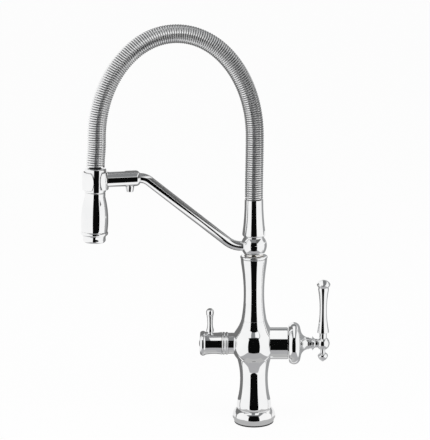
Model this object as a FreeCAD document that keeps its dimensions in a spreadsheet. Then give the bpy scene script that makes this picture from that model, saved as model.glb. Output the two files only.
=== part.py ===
import FreeCAD, Part
import math
import os

import Sketcher
from FreeCAD import Placement, Rotation, Vector

# A chrome deck faucet in a traditional style. A turned body carries a mixer handle on the right and a small
# filtered-water tap on the left. A ball hub swivels on top of it with a rigid arm, a docking collar and a
# hose in a wound spring that hangs the spray head in the collar. Millimetres, deck at zero height, +Z up,
# mixer handle towards +X.

SIZES = {
    # Foot and base flange
    "gasket_r": 26.4,
    "gasket_thick": 1.5,
    "flange_r": 28.7,
    "flange_band_top": 8.8,
    "flange_round": 1.2,
    "flange_crown_r": 22.8,
    "flange_foot_r": 26.9,
    "flange_foot_top": 5.2,
    "flange_lip_z": 6.6,
    "flange_top": 19.5,
    "foot_r": 20.0,
    "foot_gap": 0.1,
    "port_circle_r": 10.5,
    "ports": 3.0,
    "inlet_r": 4.45,
    "inlet_deep": 14.0,
    "stud_r": 3.4,
    "stud_deep": 16.0,
    # Valve body
    "body_seat_r": 22.6,
    "body_belly_round": 24.0,
    "body_shoulder_r": 22.3,
    "body_shoulder_z": 30.2,
    "body_sweep": 127.0,
    "body_waist_r": 18.5,
    "body_waist_z": 61.0,
    "body_neck_r": 22.4,
    "body_neck_z": 88.6,
    "branch_z": 109.2,
    "ball_chamber_r": 29.8,
    "body_top_flare_r": 24.2,
    "body_top_flare_sweep": 53.0,
    "seam_r": 16.7,
    "seam_z": 142.3,
    "channel_r": 3.5,
    "riser_offset": 5.25,
    # Column
    "spigot_r": 11.0,
    "spigot_long": 12.0,
    "column_bore_r": 8.0,
    "column_waist_r": 13.5,
    "column_waist_z": 177.0,
    "column_sweep": 196.0,
    "column_shoulder_r": 16.4,
    "column_shoulder_z": 216.0,
    "column_top_sweep": 78.0,
    "column_top_r": 17.4,
    "column_top_z": 225.8,
    "cup_r": 18.0,
    "cup_thick": 3.7,
    "cup_round": 1.6,
    "fit_gap": 0.06,
    "seat_gap": 0.05,
    # Swivel post under the ball hub
    "post_r": 9.6,
    "post_base_r": 12.6,
    "post_base_long": 10.0,
    "post_bore_r": 4.0,
    "post_top_z": 262.0,
    "groove_deep": 1.4,
    "port_groove_wide": 3.4,
    "ring_pitch": 9.0,
    "washer_thick": 0.8,
    "clip_thick": 1.2,
    "clip_r": 11.0,
    "clip_groove_deep": 1.0,
    "filter_tube_r": 1.8,
    "filter_tube_bore_r": 1.2,
    "filter_tube_offset": 6.0,
    "filter_tube_deep": 4.0,
    "filter_way_r": 1.4,
    "filter_way_offset": 6.4,
    "tap_outlet_r": 2.6,
    # Ball hub and cone sleeve
    "hub_neck_r": 12.3,
    "hub_ball_r": 17.0,
    "hub_z": 243.4,
    "hub_half": 12.1,
    "hub_wall": 1.1,
    "cone_foot_r": 15.3,
    "cone_foot_round": 3.2,
    "cone_bore_r": 11.2,
    "cone_web_z": 264.0,
    "cone_top_r": 12.1,
    "cone_top_z": 305.2,
    "cone_sweep": 333.0,
    "union_r": 10.2,
    "union_long": 34.0,
    "union_bore_r": 4.0,
    "union_across_flats": 16.0,
    "union_flat_tall": 8.5,
    "union_flats": 6.0,
    # Arm, outlet block and docking collar
    "spout_turn": 14.0,
    "reach": 208.1,
    "arm_r": 6.35,
    "arm_bore_r": 4.6,
    "arm_low_run": 4.3,
    "arm_low_bend": 34.0,
    "arm_slope": 39.7,
    "arm_high_bend": 20.0,
    "arm_end": 158.0,
    "arm_seat_gap": 0.15,
    "block_z": 340.3,
    "block_r": 10.0,
    "block_shoulder": 155.8,
    "block_shoulder_round": 6.0,
    "block_back": 151.0,
    "block_mouth_r": 7.2,
    "block_bore_r": 4.6,
    "block_bore_end": 172.0,
    "outlet_from_axis": 164.1,
    "outlet_root_r": 5.9,
    "outlet_tip_r": 4.7,
    "outlet_tip_z": 323.2,
    "outlet_bore_r": 3.6,
    "outlet_throat_r": 2.5,
    "outlet_round": 0.5,
    "outlet_collar_tall": 0.9,
    "outlet_socket": 4.0,
    "outlet_insert_long": 3.0,
    "outlet_jet_circle": 1.9,
    "outlet_jets": 6.0,
    "collar_r": 16.8,
    "collar_bore_r": 14.4,
    "collar_low_z": 328.0,
    "collar_tall": 23.0,
    "collar_round": 0.9,
    "slot_wide": 9.0,
    "slot_flare": 3.4,
    "dock_gap": 0.75,
    "head_lean": 2.2,
    "dock_z": 339.0,
    # Spring and hose
    "arch_springing_z": 390.2,
    "arch_rise": 133.2,
    "column_sway": 1.0,
    "head_sway": 2.8,
    "spring_r": 11.95,
    "spring_wire": 3.5,
    "spring_turns": 96.0,
    "spring_lead": 8.4,
    "spring_seat_gap": 0.3,
    "hose_r": 7.0,
    "hose_bore_r": 4.0,
    "hose_into_union": 8.0,
    "hose_into_sleeve": 7.0,
    "hose_stations": 18.0,
    # Spray head
    "sleeve_top_z": 355.5,
    "sleeve_low_z": 324.4,
    "sleeve_round": 1.6,
    "sleeve_bore_r": 7.8,
    "sleeve_bore_long": 12.0,
    "check_r": 8.0,
    "check_long": 9.5,
    "check_bore_r": 2.5,
    "check_flange": 3.6,
    "check_step": 4.8,
    "head_neck_r": 13.2,
    "head_neck_z": 318.8,
    "head_neck_round": 0.9,
    "head_wall": 2.2,
    "head_spigot_r": 10.4,
    "head_spigot_long": 8.0,
    "head_belly_r": 17.5,
    "head_belly_z": 287.0,
    "head_belly_sweep": 106.0,
    "head_low_r": 16.7,
    "head_low_z": 273.9,
    "bead_r": 17.6,
    "bead_low_z": 269.2,
    "bead_edge_r": 16.6,
    "bead_bore_r": 12.6,
    "nozzle_top_r": 15.3,
    "nozzle_waist_r": 14.4,
    "nozzle_lip_r": 14.7,
    "nozzle_waist_z": 265.5,
    "nozzle_lip_z": 262.9,
    "nozzle_round": 4.0,
    "nozzle_low_r": 13.2,
    "nozzle_low_z": 259.9,
    "nozzle_wall": 1.8,
    "plate_thick": 2.2,
    "plate_up": 1.0,
    "plate_hole_r": 0.8,
    "plate_hole_circle": 8.8,
    "plate_holes": 12.0,
    "stream_r": 5.6,
    "stream_up": 0.5,
    "stream_tall": 5.0,
    "stream_bore_r": 3.6,
    # Mixer branch
    "sleeve_r": 21.2,
    "branch_bore_r": 17.6,
    "mixer_sleeve_start": 14.0,
    "mixer_sleeve_end": 45.3,
    "cartridge_r": 17.5,
    "cartridge_start": 4.0,
    "cartridge_end": 32.0,
    "cartridge_throat_r": 9.0,
    "cartridge_throat_deep": 7.0,
    "nut_dome_round": 15.8,
    "nut_bore_r": 9.3,
    "nut_dome_end": 46.4,
    "nut_dome_start": 40.0,
    "pivot_x": 36.0,
    "carrier_r": 8.9,
    "carrier_start": 25.2,
    "carrier_end": 38.4,
    "stem_r": 3.5,
    "stem_tail": 4.4,
    "stem_slot_r": 5.4,
    "pin_r": 1.5,
    "pin_short": 0.2,
    # Mixer handle
    "bell_back": 46.6,
    "bell_back_r": 25.4,
    "bell_bore_r": 24.2,
    "bell_rim_r": 28.1,
    "bell_rim_x": 53.4,
    "bell_front_x": 61.6,
    "bell_front_r": 21.4,
    "bell_front_wall": 3.6,
    "bell_flare_r": 17.0,
    "bell_flare_x": 62.6,
    "bell_flare_sweep": 11.0,
    "bell_hub_r": 7.8,
    "bell_hub_x": 73.6,
    "bell_socket_r": 3.6,
    "bell_socket_end": 68.0,
    "grub_socket_r": 1.0,
    "grub_r": 2.0,
    "grub_x": 65.6,
    "grub_long": 5.0,
    "neck_ring_r": 9.7,
    "neck_ring_x": 78.1,
    "neck_ring_half": 2.0,
    "neck_root_r": 7.3,
    "neck_ring_root_r": 6.9,
    "neck_sweep": 7.0,
    "neck_r": 5.8,
    "neck_waist_x": 82.0,
    "lever_x": 92.0,
    "knuckle_r": 9.1,
    # Mixer lever, heights from the knuckle's centre
    "lever_neck_r": 5.1,
    "lever_neck_top": 14.2,
    "lever_skirt_r": 8.0,
    "lever_skirt_low": 15.4,
    "lever_skirt_top": 18.6,
    "lever_skirt_top_r": 7.7,
    "lever_sweep_low": 140.0,
    "lever_sweep_high": 142.0,
    "lever_waist_r": 4.9,
    "lever_waist_z": 47.5,
    "lever_shoulder_r": 7.3,
    "lever_shoulder_z": 73.4,
    "lever_groove_r": 6.9,
    "lever_groove_z": 76.8,
    "lever_groove_round": 6.9,
    "lever_cap_r": 9.3,
    "lever_cap_round": 7.4,
    "lever_cap_z": 81.6,
    "lever_top_z": 87.0,
    "finial_stem_r": 3.2,
    "finial_stem_z": 13.4,
    "finial_r": 7.0,
    "finial_z": 17.4,
    "finial_taper": 9.5,
    "finial_tip_r": 1.7,
    "finial_tip_rise": 1.2,
    "finial_tip_z": 25.2,
    # Filter tap branch, distances from the column axis
    "tap_bore_r": 11.0,
    "tap_bore_start": 9.0,
    "tap_sleeve_r": 14.0,
    "tap_sleeve_start": 16.0,
    "tap_sleeve_end": 34.0,
    "tap_sleeve_bore_r": 10.2,
    "tap_bead_r": 15.1,
    "tap_bead_end": 42.5,
    "tap_bead_groove_r": 13.8,
    "headwork_r": 10.0,
    "headwork_start": 12.0,
    "headwork_end": 50.0,
    "spindle_r": 4.0,
    "spindle_start": 40.0,
    "spindle_end": 62.0,
    "spool_start": 42.8,
    "spool_r": 15.0,
    "spool_waist_r": 14.1,
    "spool_waist_x": 52.8,
    "spool_sweep_low": 52.0,
    "spool_sweep_high": 52.0,
    "spool_flare_r": 15.2,
    "spool_flare_x": 64.7,
    "spool_rim_r": 16.5,
    "spool_rim_x": 68.1,
    "spool_edge_r": 14.6,
    "spool_end": 71.7,
    "spool_bore_r": 12.0,
    "spool_bore_end": 53.0,
    "spool_socket_r": 6.2,
    "spool_socket_deep": 7.0,
    "cap_r": 6.1,
    "cap_skirt": 3.0,
    "cap_dome": 1.6,
    "screw_r": 2.0,
    "screw_head_r": 3.6,
    "screw_head_thick": 2.6,
    "screw_socket_r": 1.6,
    "screw_long": 8.0,
    # Filter lever, heights from the branch axis
    "tap_lever_x": 58.4,
    "tap_lever_root": 7.0,
    "tap_lever_foot_r": 5.0,
    "tap_lever_foot_low": 15.4,
    "tap_lever_foot_top": 18.6,
    "tap_lever_root_r": 3.4,
    "tap_lever_stem_r": 3.6,
    "tap_lever_stem_z": 28.0,
    "tap_lever_sweep": 26.0,
    "tap_lever_neck_sweep": 78.0,
    "tap_lever_neck_r": 4.4,
    "tap_lever_neck_z": 38.4,
    "tap_lever_ball_r": 5.1,
    "tap_lever_ball_round": 11.2,
    "tap_lever_foot_round": 0.9,
    "tap_lever_top_z": 48.3,
}


class Size:
    """A length that knows both its number and the sheet expression behind it."""

    def __init__(self, value, text):
        self.value = value
        self.text = text

    def __add__(self, other):
        return Size(self.value + number(other), f"({self.text} + {words(other)})")

    def __sub__(self, other):
        return Size(self.value - number(other), f"({self.text} - {words(other)})")

    def __mul__(self, factor):
        return Size(self.value * factor, f"({self.text} * {factor})")


class SizeSheet:
    """The sheet of driving sizes, each read as an attribute."""

    def __init__(self, document, sizes):
        self.sizes = sizes
        self.sheet = document.addObject("Spreadsheet::Sheet", "Sizes")
        for row, (name, value) in enumerate(sizes.items(), 1):
            self.sheet.set(f"A{row}", name)
            self.sheet.set(f"B{row}", str(value))
            self.sheet.setAlias(f"B{row}", name)

    def __getattr__(self, name):
        return Size(self.sizes[name], f"Sizes.{name}")


def number(size):
    return size.value if isinstance(size, Size) else float(size)


def words(size):
    return size.text if isinstance(size, Size) else str(size)


doc = FreeCAD.newDocument("Faucet")
S = SizeSheet(doc, SIZES)
doc.recompute()
pieces = []

AXIS = 0.0
TANGENT = "tangent"
ROOT_POINT = (-1, 1)
H_AXIS = -1
V_AXIS = -2
CENTRE = 3
UP = Placement()


def plane(body, role):
    return next(item for item in body.Origin.OriginFeatures if item.Role == role)


def new_body(label):
    body = doc.addObject("PartDesign::Body", label)
    body.Label = label
    pieces.append(body)
    return body


def new_sketch(body, name, role, offset=None):
    sketch = body.newObject("Sketcher::SketchObject", name)
    sketch.AttachmentSupport = (plane(body, role), [""])
    sketch.MapMode = "FlatFace"
    if offset is not None:
        sketch.AttachmentOffset = Placement(Vector(0, 0, number(offset)), Rotation())
        sketch.setExpression("AttachmentOffset.Base.z", words(offset))
    return sketch


def arc_centre(start, end, direction):
    """Centre and signed radius of the arc that leaves start along direction and ends at end."""
    normal = Vector(-direction.y, direction.x, 0)
    chord = end - start
    radius = chord.dot(chord) / (2 * chord.dot(normal))
    return start + normal * radius, radius


def arc_of_radius(start, end, radius):
    """Centre of the arc, under a half circle, from start to end: left of travel for a positive radius."""
    chord = end - start
    half = chord.Length / 2
    normal = Vector(-chord.y, chord.x, 0) * (1 / chord.Length)
    rise = math.sqrt(max(radius * radius - half * half, 0.0))
    return (start + end) * 0.5 + normal * math.copysign(rise, radius)


def arc_geometry(start, end, centre, turns_left):
    """The sketch arc, which always runs anticlockwise, and its vertices at the start and end of the way."""
    first, last = (start, end) if turns_left else (end, start)
    from_angle = math.atan2(first.y - centre.y, first.x - centre.x)
    to_angle = math.atan2(last.y - centre.y, last.x - centre.x)
    circle = Part.Circle(centre, Vector(0, 0, 1), (start - centre).Length)
    arc = Part.ArcOfCircle(circle, from_angle, to_angle)
    return (arc, 1, 2) if turns_left else (arc, 2, 1)


def outline_geometry(points):
    """Lines and arcs through the outline's points, with the travel direction at each one's end."""
    places = [Vector(number(p[0]), number(p[1]), 0) for p in points]
    segments = []
    direction = None
    for index, point in enumerate(points):
        start = places[index - 1]
        end = places[index]
        bend = point[2] if len(point) > 2 else None
        if bend is None:
            segments.append((Part.LineSegment(start, end), 1, 2))
            direction = (end - start).normalize()
            continue
        if bend is TANGENT:
            centre, radius = arc_centre(start, end, direction)
        else:
            radius = number(bend)
            centre = arc_of_radius(start, end, radius)
        segments.append(arc_geometry(start, end, centre, radius > 0))
        spoke = end - centre
        direction = Vector(-spoke.y, spoke.x, 0).normalize() * math.copysign(1, radius)
    return segments


def bind(sketch, constraint, size):
    """Adds a dimension to the sketch and ties it to the sheet."""
    index = sketch.addConstraint(constraint)
    if isinstance(size, Size):
        sketch.setExpression(f"Constraints[{index}]", size.text)


def place_vertex(sketch, geometry, vertex, across, up):
    if number(across) == 0:
        sketch.addConstraint(Sketcher.Constraint("PointOnObject", geometry, vertex, V_AXIS))
    else:
        gap = Sketcher.Constraint("DistanceX", *ROOT_POINT, geometry, vertex, number(across))
        bind(sketch, gap, across)
    if number(up) == 0:
        sketch.addConstraint(Sketcher.Constraint("PointOnObject", geometry, vertex, H_AXIS))
    else:
        rise = Sketcher.Constraint("DistanceY", *ROOT_POINT, geometry, vertex, number(up))
        bind(sketch, rise, up)


def draw_outline(sketch, points):
    """Draws a closed outline. A point is (across, up), with a third entry where an arc leads to it: its
    radius, positive where it turns left on the way round, or TANGENT where it carries on smoothly."""
    segments = outline_geometry(points)
    sketch.addGeometry([segment[0] for segment in segments], False)
    for index, point in enumerate(points):
        before = (index - 1) % len(points)
        bend = point[2] if len(point) > 2 else None
        kind = "Tangent" if bend is TANGENT else "Coincident"
        join = Sketcher.Constraint(kind, before, segments[before][2], index, segments[index][1])
        sketch.addConstraint(join)
        place_vertex(sketch, index, segments[index][2], point[0], point[1])
        if bend is not None and bend is not TANGENT:
            size = bend if number(bend) > 0 else bend * -1
            bind(sketch, Sketcher.Constraint("Radius", index, abs(number(bend))), size)


def turned(label, points, placement=UP):
    """A piece turned about its own Z axis from an outline of (radius, height) points."""
    body = new_body(label)
    sketch = new_sketch(body, f"{label}_profile", "XZ_Plane")
    draw_outline(sketch, points)
    revolution = body.newObject("PartDesign::Revolution", f"{label}_turned")
    revolution.Profile = sketch
    revolution.ReferenceAxis = (sketch, ["V_Axis"])
    revolution.Angle = 360
    body.Placement = placement
    return body


def draw_circle(sketch, across, up, radius):
    """Adds a circle to the sketch, tied to the sheet."""
    index = sketch.GeometryCount
    middle = Vector(number(across), number(up), 0)
    sketch.addGeometry(Part.Circle(middle, Vector(0, 0, 1), number(radius)), False)
    place_vertex(sketch, index, CENTRE, across, up)
    bind(sketch, Sketcher.Constraint("Radius", index, number(radius)), radius)


def drilled(body, name, role, centre, radius, start, deep, reverse=False):
    """Cuts a round hole from an offset of an origin plane, against that plane's normal unless reversed."""
    doc.recompute()
    before = body.Shape.Volume
    sketch = new_sketch(body, f"{name}_circle", role, start)
    draw_circle(sketch, *centre, radius)
    pocket = body.newObject("PartDesign::Pocket", name)
    pocket.Profile = sketch
    pocket.Reversed = reverse
    pocket.Length = number(deep)
    pocket.setExpression("Length", words(deep))
    doc.recompute()
    if body.Shape.Volume > before - 0.5:
        raise ValueError(f"{name} cuts nothing")
    return pocket


def repeated(body, feature, count, name):
    """Repeats a cut evenly round the body's Z axis."""
    pattern = body.newObject("PartDesign::PolarPattern", name)
    pattern.Originals = [feature]
    pattern.Axis = (plane(body, "Z_Axis"), [""])
    pattern.Angle = 360
    pattern.Occurrences = int(number(count))
    body.Tip = pattern
    return pattern


def tube_outline(inner, outer, low, high):
    return [(outer, low), (outer, high), (inner, high), (inner, low)]


def spout_placement(out=0.0):
    """On the column axis, or out along the arm, with the arm's own turn."""
    turn = math.radians(number(S.spout_turn))
    foot = Vector(-out * math.cos(turn), -out * math.sin(turn), 0)
    return Placement(foot, Rotation(Vector(0, 0, 1), number(S.spout_turn)))


def branch_placement(side):
    """A turned piece's axis laid along +X or -X at the branch height."""
    return Placement(Vector(0, 0, number(S.branch_z)), Rotation(Vector(0, 1, 0), 90 * side))


def standing_placement(x, turned_over=False):
    tip = Rotation(Vector(1, 0, 0), 180) if turned_over else Rotation()
    return Placement(Vector(x, 0, number(S.branch_z)), tip)


def head_placement():
    """Out at the collar, leaning back in it as the hose pulls."""
    pivot = Vector(0, 0, number(S.dock_z))
    lean = Placement(Vector(), Rotation(Vector(0, 1, 0), number(S.head_lean)), pivot)
    return spout_placement(number(S.reach)).multiply(lean)


SPOUT = spout_placement()
DOCK = spout_placement(number(S.reach))
HEAD = head_placement()
MIXER = branch_placement(1)
TAP = branch_placement(-1)


def chord_height(ball, neck):
    """How far from its centre a ball has this smaller radius."""
    height = math.sqrt(ball.value ** 2 - neck.value ** 2)
    return Size(height, f"sqrt({ball.text}^2 - {neck.text}^2)")


def bow_radius(half, rise):
    """Radius of the arc that bows out by this rise over this half span, square to it at the end."""
    radius = (number(half) ** 2 + number(rise) ** 2) / (2 * number(rise))
    text = f"((({words(half)})^2 + ({words(rise)})^2) / (2 * ({words(rise)})))"
    return Size(radius, text)


def base_gasket():
    turned("base_gasket", tube_outline(S.foot_r + S.foot_gap, S.gasket_r, AXIS, S.gasket_thick))


def base_flange():
    bore = S.foot_r + S.foot_gap
    turned("base_flange", [
        (S.flange_foot_r - S.flange_round, S.gasket_thick),
        (S.flange_foot_r, S.gasket_thick + S.flange_round, S.flange_round),
        (S.flange_foot_r, S.flange_foot_top),
        (S.flange_r, S.flange_lip_z),
        (S.flange_r, S.flange_band_top),
        (S.flange_crown_r, S.flange_top, TANGENT),
        (bore, S.flange_top),
        (bore, S.gasket_thick),
    ])


def body_outline():
    """The casting's outside, from the foot up over the valve ball to the seam."""
    spigot_bore = S.spigot_r + S.fit_gap
    spigot_floor = S.seam_z - S.spigot_long - S.seat_gap
    flare_z = S.branch_z + chord_height(S.ball_chamber_r, S.body_top_flare_r)
    return [
        (S.foot_r, AXIS),
        (S.foot_r, S.flange_top),
        (S.body_seat_r, S.flange_top),
        (S.body_shoulder_r, S.body_shoulder_z, S.body_belly_round),
        (S.body_waist_r, S.body_waist_z, S.body_sweep * -1),
        (S.body_neck_r, S.body_neck_z, TANGENT),
        (S.body_top_flare_r, flare_z, S.ball_chamber_r),
        (S.seam_r, S.seam_z, S.body_top_flare_sweep * -1),
        (spigot_bore, S.seam_z),
        (spigot_bore, spigot_floor),
        (AXIS, spigot_floor),
        (AXIS, AXIS),
    ]


def valve_body():
    """The turned casting with its two valve chambers, its ports and its waterways."""
    body = turned("valve_body", body_outline())
    centre = (AXIS, S.branch_z)
    far = S.ball_chamber_r
    drilled(body, "mixer_socket", "YZ_Plane", centre, S.sleeve_r + S.fit_gap, S.mixer_sleeve_start, far, True)
    drilled(body, "mixer_chamber", "YZ_Plane", centre, S.branch_bore_r, S.cartridge_start, far, True)
    drilled(body, "tap_socket", "YZ_Plane", centre, S.tap_sleeve_r + S.fit_gap, S.tap_sleeve_start * -1, far)
    drilled(body, "tap_chamber", "YZ_Plane", centre, S.tap_bore_r, S.tap_bore_start * -1, far)
    riser = S.seam_z - S.branch_z
    drilled(body, "riser", "XY_Plane", (S.riser_offset, AXIS), S.channel_r, S.branch_z, riser, True)
    tap_reach = S.tap_bore_start - S.filter_tube_offset + S.filter_tube_bore_r
    outlet_start = S.filter_tube_bore_r - S.filter_tube_offset
    drilled(body, "tap_outlet", "YZ_Plane", centre, S.tap_outlet_r, outlet_start, tap_reach)
    across = (S.filter_tube_offset * -1, AXIS)
    drilled(body, "filter_riser", "XY_Plane", across, S.filter_tube_bore_r, S.branch_z, riser, True)
    socket_floor = S.seam_z - S.spigot_long - S.seat_gap - S.filter_tube_deep
    drilled(body, "tube_socket", "XY_Plane", across, S.filter_tube_r + S.fit_gap, socket_floor,
            S.filter_tube_deep * 2, True)
    under = (S.port_circle_r * -1, AXIS)
    inlet = drilled(body, "inlet", "XY_Plane", under, S.inlet_r, AXIS, S.inlet_deep, True)
    repeated(body, inlet, S.ports, "inlets")
    duct = drilled(body, "duct", "XY_Plane", under, S.channel_r, AXIS, S.branch_z, True)
    repeated(body, duct, S.ports, "ducts")
    between = math.radians(120)
    beside = (S.port_circle_r * math.cos(between), S.port_circle_r * math.sin(between))
    stud = drilled(body, "stud_hole", "XY_Plane", beside, S.stud_r, AXIS, S.stud_deep, True)
    mirror = body.newObject("PartDesign::Mirrored", "stud_holes")
    mirror.Originals = [stud]
    mirror.MirrorPlane = (plane(body, "XZ_Plane"), [""])
    body.Tip = mirror


def column():
    """The tapered column, with a spigot into the body and a cup that holds the swivel post."""
    socket = S.post_base_r + S.fit_gap
    socket_floor = S.column_top_z + S.cup_thick - S.post_base_long
    turned("column", [
        (S.column_bore_r, S.seam_z - S.spigot_long),
        (S.spigot_r, S.seam_z - S.spigot_long),
        (S.spigot_r, S.seam_z),
        (S.seam_r, S.seam_z),
        (S.column_waist_r, S.column_waist_z, S.column_sweep * -1),
        (S.column_shoulder_r, S.column_shoulder_z, TANGENT),
        (S.column_top_r, S.column_top_z, S.column_top_sweep),
        (socket, S.column_top_z),
        (socket, socket_floor),
        (S.column_bore_r, socket_floor),
    ])


def cup_ring():
    low = S.column_top_z
    high = S.column_top_z + S.cup_thick
    bore = S.post_base_r + S.fit_gap
    edge = S.cup_r - S.cup_round
    turned("cup_ring", [
        (edge, low),
        (S.cup_r, low + S.cup_round, S.cup_round),
        (S.cup_r, high - S.cup_round),
        (edge, high, S.cup_round),
        (bore, high),
        (bore, low),
    ])


def post_ring_heights():
    """Heights of the post's two seal grooves, evenly about the hub's centre."""
    return [S.hub_z - S.ring_pitch * 0.5, S.hub_z + S.ring_pitch * 0.5]


def clip_low():
    return S.hub_z + S.hub_half + S.fit_gap


def swivel_post():
    """The post that the hub turns on, screwed into the column's cup, with grooves for seals and clip."""
    groove_r = S.post_r - S.groove_deep
    clip_r = S.post_r - S.clip_groove_deep
    base_top = S.column_top_z + S.cup_thick
    base_low = base_top - S.post_base_long
    low_ring, high_ring = post_ring_heights()
    outline = [
        (S.post_bore_r, base_low),
        (S.post_base_r, base_low),
        (S.post_base_r, base_top),
        (S.post_r, base_top),
    ]
    grooves = ((low_ring, S.groove_deep), (S.hub_z, S.port_groove_wide), (high_ring, S.groove_deep))
    for height, wide in grooves:
        half = wide * 0.5
        outline += [
            (S.post_r, height - half),
            (groove_r, height - half),
            (groove_r, height + half),
            (S.post_r, height + half),
        ]
    outline += [
        (S.post_r, clip_low()),
        (clip_r, clip_low()),
        (clip_r, clip_low() + S.clip_thick),
        (S.post_r, clip_low() + S.clip_thick),
        (S.post_r, S.post_top_z),
        (S.post_bore_r, S.post_top_z),
    ]
    body = turned("swivel_post", outline)
    tube_end = (S.filter_tube_offset * -1, AXIS)
    seat_r = S.filter_tube_r + S.fit_gap
    drilled(body, "tube_seat", "XY_Plane", tube_end, seat_r, base_low, S.filter_tube_deep, True)
    way = (S.filter_way_offset * -1, AXIS)
    drilled(body, "filter_way", "XY_Plane", way, S.filter_way_r, base_low, S.hub_z - base_low, True)
    level = (AXIS, S.hub_z)
    drilled(body, "cross_port", "YZ_Plane", level, S.filter_way_r, S.filter_way_offset * -1, S.post_r)


def filter_tube():
    """The thin tube that takes filtered water up the column, from the body to the post's own way."""
    low = S.seam_z - S.spigot_long - S.filter_tube_deep
    high = S.column_top_z + S.cup_thick - S.post_base_long + S.filter_tube_deep - S.seat_gap
    place = Placement(Vector(-number(S.filter_tube_offset), 0, 0), Rotation())
    turned("filter_tube", tube_outline(S.filter_tube_bore_r, S.filter_tube_r, low, high), place)


def hub_seals():
    """Two O-rings in the post's grooves, as one node of separate solids."""
    cord = S.groove_deep * 0.5
    rings = []
    for index, height in enumerate(post_ring_heights()):
        ring = doc.addObject("Part::Torus", f"seal_{index}")
        ring.setExpression("Radius1", (S.post_r - cord).text)
        ring.setExpression("Radius2", cord.text)
        ring.setExpression("Placement.Base.z", height.text)
        rings.append(ring)
    group = doc.addObject("Part::Compound", "hub_seals")
    group.Label = "hub_seals"
    group.Links = rings
    pieces.append(group)


def swivel_washer():
    low = S.column_top_z + S.cup_thick
    turned("swivel_washer", tube_outline(S.post_r + S.fit_gap, S.hub_neck_r, low, low + S.washer_thick))


def post_clip():
    low = clip_low()
    ring = tube_outline(S.post_r - S.clip_groove_deep, S.clip_r, low, low + S.clip_thick)
    turned("post_clip", ring)


def ball_hub():
    """The turning ball, bored for the post and for the arm."""
    low = S.column_top_z + S.cup_thick + S.washer_thick + S.seat_gap
    top = S.hub_z + S.hub_half
    bore = S.post_r + S.fit_gap
    drop = chord_height(S.hub_ball_r, S.hub_neck_r)
    body = turned("ball_hub", [
        (S.hub_neck_r, low),
        (S.hub_neck_r, S.hub_z - drop),
        (S.hub_neck_r, S.hub_z + drop, S.hub_ball_r),
        (S.hub_neck_r, top),
        (bore, top),
        (bore, low),
    ], SPOUT)
    far = S.hub_ball_r
    drilled(body, "arm_socket", "YZ_Plane", (AXIS, S.hub_z), S.arm_r + S.fit_gap, arm_root() * -1, far)
    drilled(body, "arm_way", "YZ_Plane", (AXIS, S.hub_z), S.arm_bore_r, AXIS, far)


def arm_root():
    """Where the arm starts in the hub, a wall away from the post's bore."""
    return S.post_r + S.fit_gap + S.hub_wall


def cone_sleeve():
    """The tapered sleeve on the hub that carries the spring and hides the hose union."""
    low = S.hub_z + S.hub_half
    web = S.cone_web_z
    bore = S.union_r + S.fit_gap
    top = S.cone_top_z
    turned("cone_sleeve", [
        (S.hub_neck_r, low),
        (S.cone_foot_r, low + S.cone_foot_round, S.cone_foot_round + S.seat_gap),
        (S.cone_top_r, top, S.cone_sweep * -1),
        (bore, top),
        (bore, web),
        (S.cone_bore_r, web),
        (S.cone_bore_r, low),
    ], SPOUT)


def hose_union():
    """The brass union under the sleeve that holds the hose, with flats for a spanner."""
    low = S.cone_web_z + S.seat_gap
    top = low + S.union_long
    socket = S.hose_r + S.fit_gap
    socket_floor = top - S.hose_into_union
    body = turned("hose_union", [
        (S.union_bore_r, low),
        (S.union_r, low),
        (S.union_r, top),
        (socket, top),
        (socket, socket_floor),
        (S.union_bore_r, socket_floor),
    ], SPOUT)
    spanner_flats(body, low)


def spanner_flats(body, low):
    """Six flats milled round the union's lower end."""
    sketch = new_sketch(body, "flat_cut", "XY_Plane", low)
    side = S.union_r
    near = S.union_across_flats * 0.5
    draw_outline(sketch, [(side * -1, near), (side, near), (side, side + near), (side * -1, side + near)])
    flat = body.newObject("PartDesign::Pocket", "flat")
    flat.Profile = sketch
    flat.Reversed = True
    flat.Length = number(S.union_flat_tall)
    flat.setExpression("Length", S.union_flat_tall.text)
    doc.recompute()
    repeated(body, flat, S.union_flats, "flats")


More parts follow.
